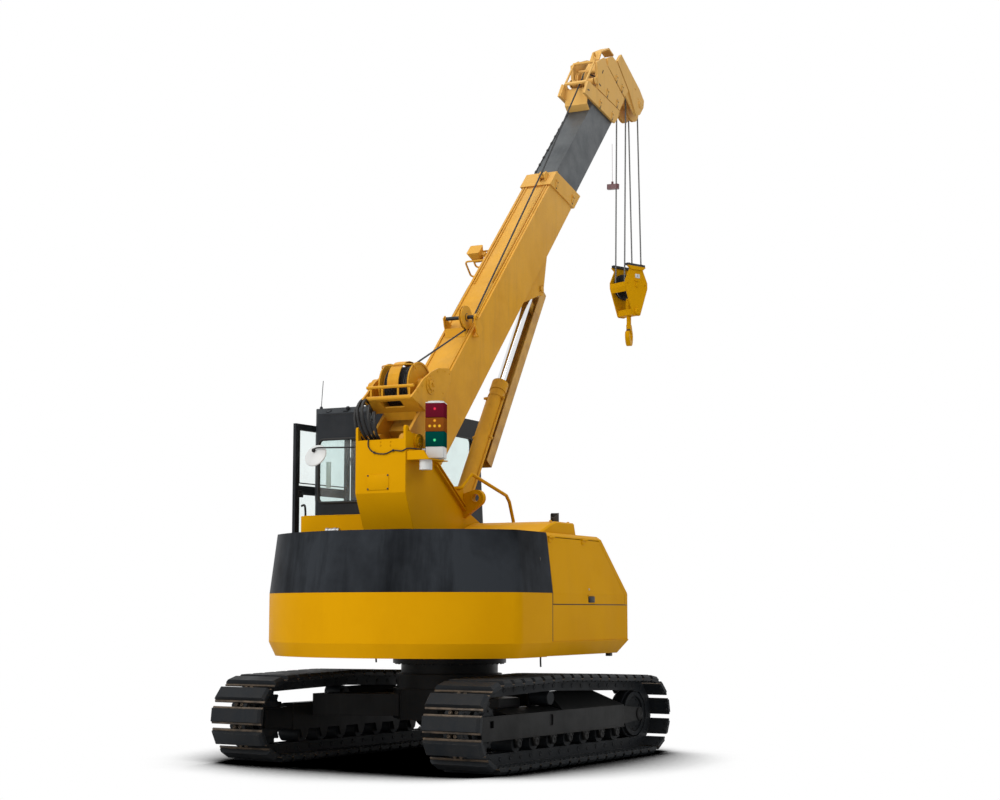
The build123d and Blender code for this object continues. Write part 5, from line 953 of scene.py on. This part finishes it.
# Cab: window seals, lamp, bracket, hatch and antenna on the roof, grey strip
cabSettings = {
    "windows": (("X", -480.0, (460.0, 1225.0, 2460.0, 3085.0), 13.0),
                ("Y", 368.0, (-400.0, 330.0, 2450.0, 3200.0), 9.0),
                ("Y", 368.0, (420.0, 1180.0, 2450.0, 3200.0), 9.0),
                ("Y", 1302.0, (-400.0, 280.0, 2450.0, 3200.0), 9.0)),
    "corner": 55.0, "roofSeam": (465.0, 1180.0, 3330.0, 3334.0, 1.9, 2),
    "lamp": ((30.0, -2.0), (30.0, 6.0), (25.0, 9.0), (21.0, 6.0), (0.0, 6.0)),
    "lampAt": (-449.0, 1128.0, 3374.0), "bracketAt": (-449.0, 925.0, 3376.0),
    "bracket": (((-30.0, -26.0, -4.0), (30.0, 26.0, 10.0), 3.0),
                ((-14.0, -40.0, 10.0), (14.0, -8.0, 34.0), 4.0)),
    "hatch": (60.0, 900.0, 520.0, 1150.0, 60.0, 5), "hatchTop": (3404.0, 3416.0),
    "socket": ((16.0, 0.0), (16.0, 22.0), (6.0, 34.0), (0.0, 34.0)), "socketAt": (-380.0, 1262.0, 3400.0),
    "antenna": ((-380, 1262, 3425), (-378, 1254, 3560), (-375, 1246, 3690)), "antennaRadius": 3.5,
    "hingeBolts": ((352.0, 1300.0, 2020.0), (352.0, 1300.0, 2920.0)),
    "strip": ((-446.0, 1104.0, 2608.0), (-438.0, 1156.0, 2866.0)),
}
cfg = cabSettings
bm = bmesh.new()
for axis, level, window, radius in cfg["windows"]:
    loop = roundedLoop(*window, cfg["corner"], 5)
    points = [(level, a, b) if axis == "X" else (a, level, b) for a, b in loop + loop[:1]]
    addTube(bm, points, radius, 8)
addPrism(bm, roundedLoop(*cfg["roofSeam"]), -482.0, -477.0, "X")
finishPiece("windowSeals", bm, toMetres, "rubberBlack", "upper")
bm = bmesh.new()
addLathe(bm, cfg["lamp"], cfg["lampAt"], up - forward, 22)
for low, high, bevel in cfg["bracket"]:
    addBox(bm, low, high, bevel, spot(cfg["bracketAt"], -45))
addPrism(bm, roundedLoop(*cfg["hatch"]), *cfg["hatchTop"], "Z", 4.0)
addLathe(bm, cfg["socket"], cfg["socketAt"], up, 14)
addTube(bm, cfg["antenna"], cfg["antennaRadius"], 8)
for place in cfg["hingeBolts"]:
    addBolt(bm, place, left, 16.0)
finishPiece("cabFittings", bm, toMetres, "cabBlack", "upper")
bm = bmesh.new()
addBox(bm, *cfg["strip"], 2.0)
finishPiece("cabStrip", bm, toMetres, "stripGrey", "upper")

# Cab door: handle, lock and the seals of its two panes, drawn shut and swung open with the door
doorSettings = {
    "handle": ((1190, 1346, 2150), (1190, 1392, 2165), (1190, 1392, 2420), (1190, 1346, 2435)),
    "handleRadius": 11.0, "plate": (1165.0, 1245.0, 2520.0, 2590.0, 12.0, 4), "plateSpan": (1342.0, 1349.0),
    "lock": ((11.0, -2.0), (11.0, 4.0), (7.0, 7.0), (0.0, 7.0)), "lockAt": (1228.0, 1348.0, 2555.0),
    "panes": ((438.0, 1230.0, 2662.0, 3193.0, 12.0, 3), (438.0, 1230.0, 1932.0, 2553.0, 12.0, 3)),
    "paneY": 1343.0, "sealRadius": 6.0,
}
cfg = doorSettings
bm = bmesh.new()
addTube(bm, smoothPath(cfg["handle"], 6), cfg["handleRadius"], 10)
addPrism(bm, roundedLoop(*cfg["plate"]), *cfg["plateSpan"], "Y", 2.0)
addLathe(bm, cfg["lock"], cfg["lockAt"], left, 16)
for pane in cfg["panes"]:
    loop = roundedLoop(*pane)
    addTube(bm, [(a, cfg["paneY"], b) for a, b in loop + loop[:1]], cfg["sealRadius"], 6)
finishPiece("doorFittings", bm, doorFrame, "rubberBlack", "cab_door")


def softPad(name, size, place, crown, channels, corner=42.0):
    bm = bmesh.new()
    bmesh.ops.create_cube(bm, size=1.0)
    bmesh.ops.subdivide_edges(bm, edges=bm.edges, cuts=21, use_grid_fill=True)
    for vert in bm.verts:
        full = Vector((vert.co[k] * size[k] for k in range(3)))
        inner = Vector((max(corner - size[k] / 2, min(size[k] / 2 - corner, full[k])) for k in range(3)))
        away = full - inner
        if away.length > 0:
            full = inner + away.normalized() * corner
        u, v = 2 * full.x / size[0], 2 * full.y / size[1]
        if full.z > 0:
            full.z += crown * (1 - u * u) * (1 - v * v)
            for channel in channels:  # stitched grooves
                full.z -= 9.0 * exp(-((full.y - channel) / 11.0) ** 2)
        pinch = 1 - 0.03 * (abs(u) * abs(v)) ** 2
        vert.co = (full.x * pinch, full.y * pinch, full.z)
    pad = finishPiece(name, bm, toMetres @ place, "seatFabric", "upper")
    return pad


seatSettings = {
    "y": 835.0, "lean": 79, "cushion": ((500.0, 480.0, 110.0), (366.0, 835.0, 2064.0), 16.0,
                                        (-110.0, 110.0)),
    "back": ((600.0, 440.0, 100.0), (118.0, 835.0, 2440.0), 14.0, (-100.0, 100.0)),
    "head": ((150.0, 260.0, 80.0), (48.0, 835.0, 2790.0), 8.0, ()),
    "folds": 5, "foldPitch": 44.0, "foldLow": (170.0, 655.0, 1780.0), "foldHigh": (540.0, 1015.0, 1826.0),
    "foldInset": Vector((10.0, 10.0, 0.0)), "base": ((150.0, 635.0, 1676.0), (560.0, 1035.0, 1782.0)),
    "rests": (((120.0, 2230.0), (430.0, 2272.0), 262.0, (-32.0, 32.0), 12.0),
              ((560.0, 1680.0), (820.0, 2160.0), 330.0, (-90.0, 20.0), 26.0)),
    "lever": ((700, 345, 2150), (702, 345, 2230), (716, 340, 2300)), "knobAt": (718.0, 340.0, 2316.0),
    "knob": ((0.0, -26.0), (20.0, -18.0), (26.0, 0.0), (20.0, 22.0), (0.0, 28.0)),
    "pedal": ((1120, 90, 1680), (1100, 90, 1900), (1090, 90, 2120)),
    "screen": ((1180.0, 470.0, 2180.0), (1225.0, 640.0, 2400.0)),
}
cfg = seatSettings
size, place, crown, channels = cfg["cushion"]
cushion = softPad("seatCushion", size, Matrix.Translation(place), crown, channels)
for name, (size, place, crown, channels) in (("seatBack", cfg["back"]), ("headRest", cfg["head"])):
    softPad(name, size, spot(place, cfg["lean"]), crown, channels)
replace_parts(cushion, "operator_seat")
bm = bmesh.new()
for level in range(cfg["folds"]):  # rubber bellows below the seat
    inset, rise = cfg["foldInset"] * (level % 2), up * cfg["foldPitch"] * level
    addBox(bm, Vector(cfg["foldLow"]) + inset + rise, Vector(cfg["foldHigh"]) - inset + rise, 8.0)
addBox(bm, *cfg["base"], 14.0)
for side in (-1, 1):
    for (lowX, lowZ), (highX, highZ), off, (near, far), bevel in cfg["rests"]:
        middle = cfg["y"] + side * off
        addBox(bm, (lowX, middle + near, lowZ), (highX, middle + far, highZ), bevel)
    lever, pedal = ([(x, cfg["y"] + side * y, z) for x, y, z in cfg[key]] for key in ("lever", "pedal"))
    addTube(bm, smoothPath(lever, 5), 9.0, 10)
    x, y, z = cfg["knobAt"]
    addLathe(bm, cfg["knob"], (x, cfg["y"] + side * y, z), (0.1, 0.0, 1.0), 16)
    addTube(bm, pedal, 11.0, 10)
addBox(bm, *cfg["screen"], 14.0)
finishPiece("cabControls", bm, toMetres, "rubberBlack", "upper")

# Engine behind its door: fins, filters and pipes
engineSettings = {
    "fins": 14, "finPitch": 26.0, "finLow": (-400.0, -1204.0, 1300.0), "finHigh": (-392.0, -1194.0, 1800.0),
    "filters": ((160, 1500, 62.0, 170.0), (330, 1480, 48.0, 140.0), (520, 1540, 70.0, 200.0)),
    "filterY": -1225.0,
    "pipes": (80.0, 240.0, 420.0),
    "pipe": ((0, -1206, 1300), (20, -1240, 1380), (90, -1240, 1450), (120, -1206, 1520)),
    "pipeRadius": 14.0,
}
cfg = engineSettings
bm = bmesh.new()
for number in range(cfg["fins"]):
    step = forward * cfg["finPitch"] * number
    addBox(bm, Vector(cfg["finLow"]) + step, Vector(cfg["finHigh"]) + step, 1.5)
for x, z, radius, height in cfg["filters"]:
    profile = [(0.0, 0.0), (radius, 0.0), (radius, 20.0), (radius - 5.0, 26.0), (radius - 5.0, height),
               (radius, height + 6.0), (radius, height + 22.0), (radius * 0.5, height + 34.0),
               (0.0, height + 34.0)]
    addLathe(bm, profile, (x, cfg["filterY"], z), up, 22)
for x in cfg["pipes"]:
    addTube(bm, smoothPath([Vector(corner) + forward * x for corner in cfg["pipe"]], 6), cfg["pipeRadius"],
            10)
finishPiece("engineDetails", bm, toMetres, "engineGrey", "upper")
print("stage: cab and engine dressed")

# Camera, floor, sky and lamps
cameraSettings = {"place": (-15.369, -8.199, 1.397), "yaw": 26.467, "pitch": 6.793, "lens": 63.8,
                  "sensor": 36.0}
camData = bpy.data.cameras.new("viewCamera")
camData.lens = cameraSettings["lens"]
camData.sensor_width = cameraSettings["sensor"]
camera = bpy.data.objects.new("viewCamera", camData)
bpy.context.scene.collection.objects.link(camera)
camera.location = cameraSettings["place"]
camera.rotation_euler = (radians(90 + cameraSettings["pitch"]), 0.0, radians(cameraSettings["yaw"] - 90))
bpy.context.scene.camera = camera

floorSettings = {"radius": 15.0, "sides": 96, "colour": (0.8, 0.8, 0.8), "reach": 2.2, "shade": (0.62, 0.87),
                 "fade": (7.0, 13.0)}
white = (1.0, 1.0, 1.0)
floorMat, kit, coords = newMaterial("floorPale")
# the floor's shadow is painted: the camera sees white emission dimmed by ambient occlusion
shade = kit.add("AmbientOcclusion", {"Distance": floorSettings["reach"]}, "AO", samples=32)
paintedShadow = kit.add("Emission", {"Color": white, "Strength": kit.remap(shade, floorSettings["shade"])})
diffuse = kit.add("BsdfDiffuse", {"Color": floorSettings["colour"]})
pick = kit.add("MixShader", {"Fac": kit.seenOrMirrored(), 1: diffuse, 2: paintedShadow})
away = kit.add("VectorMath", {0: coords}, "Value", operation="LENGTH")
clear = kit.add("BsdfTransparent", {"Color": white})
faded = kit.add("MixShader", {"Fac": kit.remap(away, floorSettings["fade"]), 1: pick, 2: clear})
kit.add("OutputMaterial", {"Surface": faded})
bm = bmesh.new()
bmesh.ops.create_circle(bm, cap_ends=True, segments=floorSettings["sides"], radius=floorSettings["radius"])
floorMesh = bpy.data.meshes.new("floor")
bm.to_mesh(floorMesh)
bm.free()
floorMesh.materials.append(floorMat)
floor = bpy.data.objects.new("floor", floorMesh)
bpy.context.scene.collection.objects.link(floor)

skySettings = {"light": (0.95, 0.97, 1.0), "strength": 0.5}
world = bpy.data.worlds.new("softSky")
bpy.context.scene.world = world
kit = NodeKit(world)
lighting = kit.add("Background", {"Color": skySettings["light"], "Strength": skySettings["strength"]})
backdrop = kit.add("Background", {"Color": white, "Strength": 1.0})
shownSky = kit.add("MixShader", {"Fac": kit.seenOrMirrored(), 1: lighting, 2: backdrop})
kit.add("OutputWorld", {"Surface": shownSky})

lampTable = {
    "key": {"place": (-10.0, 3.0, 9.0), "target": (0.0, 0.0, 2.5), "size": 8.0, "watts": 800.0,
            "colour": (1.0, 0.985, 0.96)},
    "top": {"place": (0.0, -1.0, 15.0), "target": (1.0, 0.0, 3.0), "size": 9.0, "watts": 500.0,
            "colour": (1.0, 1.0, 1.0)},
    "right": {"place": (1.0, -8.0, 8.5), "target": (0.5, 0.0, 4.0), "size": 4.0, "watts": 130.0,
              "colour": (1.0, 0.99, 0.97)},
}
for lampName, cfg in lampTable.items():
    data = bpy.data.lights.new(lampName, "AREA")
    data.shape = "DISK"
    data.size = cfg["size"]
    data.energy = cfg["watts"]
    data.color = cfg["colour"]
    lamp = bpy.data.objects.new(lampName, data)
    lamp.location = cfg["place"]
    aim = Vector(cfg["target"]) - Vector(cfg["place"])
    lamp.rotation_euler = aim.to_track_quat("-Z", "Y").to_euler()
    bpy.context.scene.collection.objects.link(lamp)
bpy.context.scene.view_settings.view_transform = "Standard"
print("stage: camera, floor and lamps set")
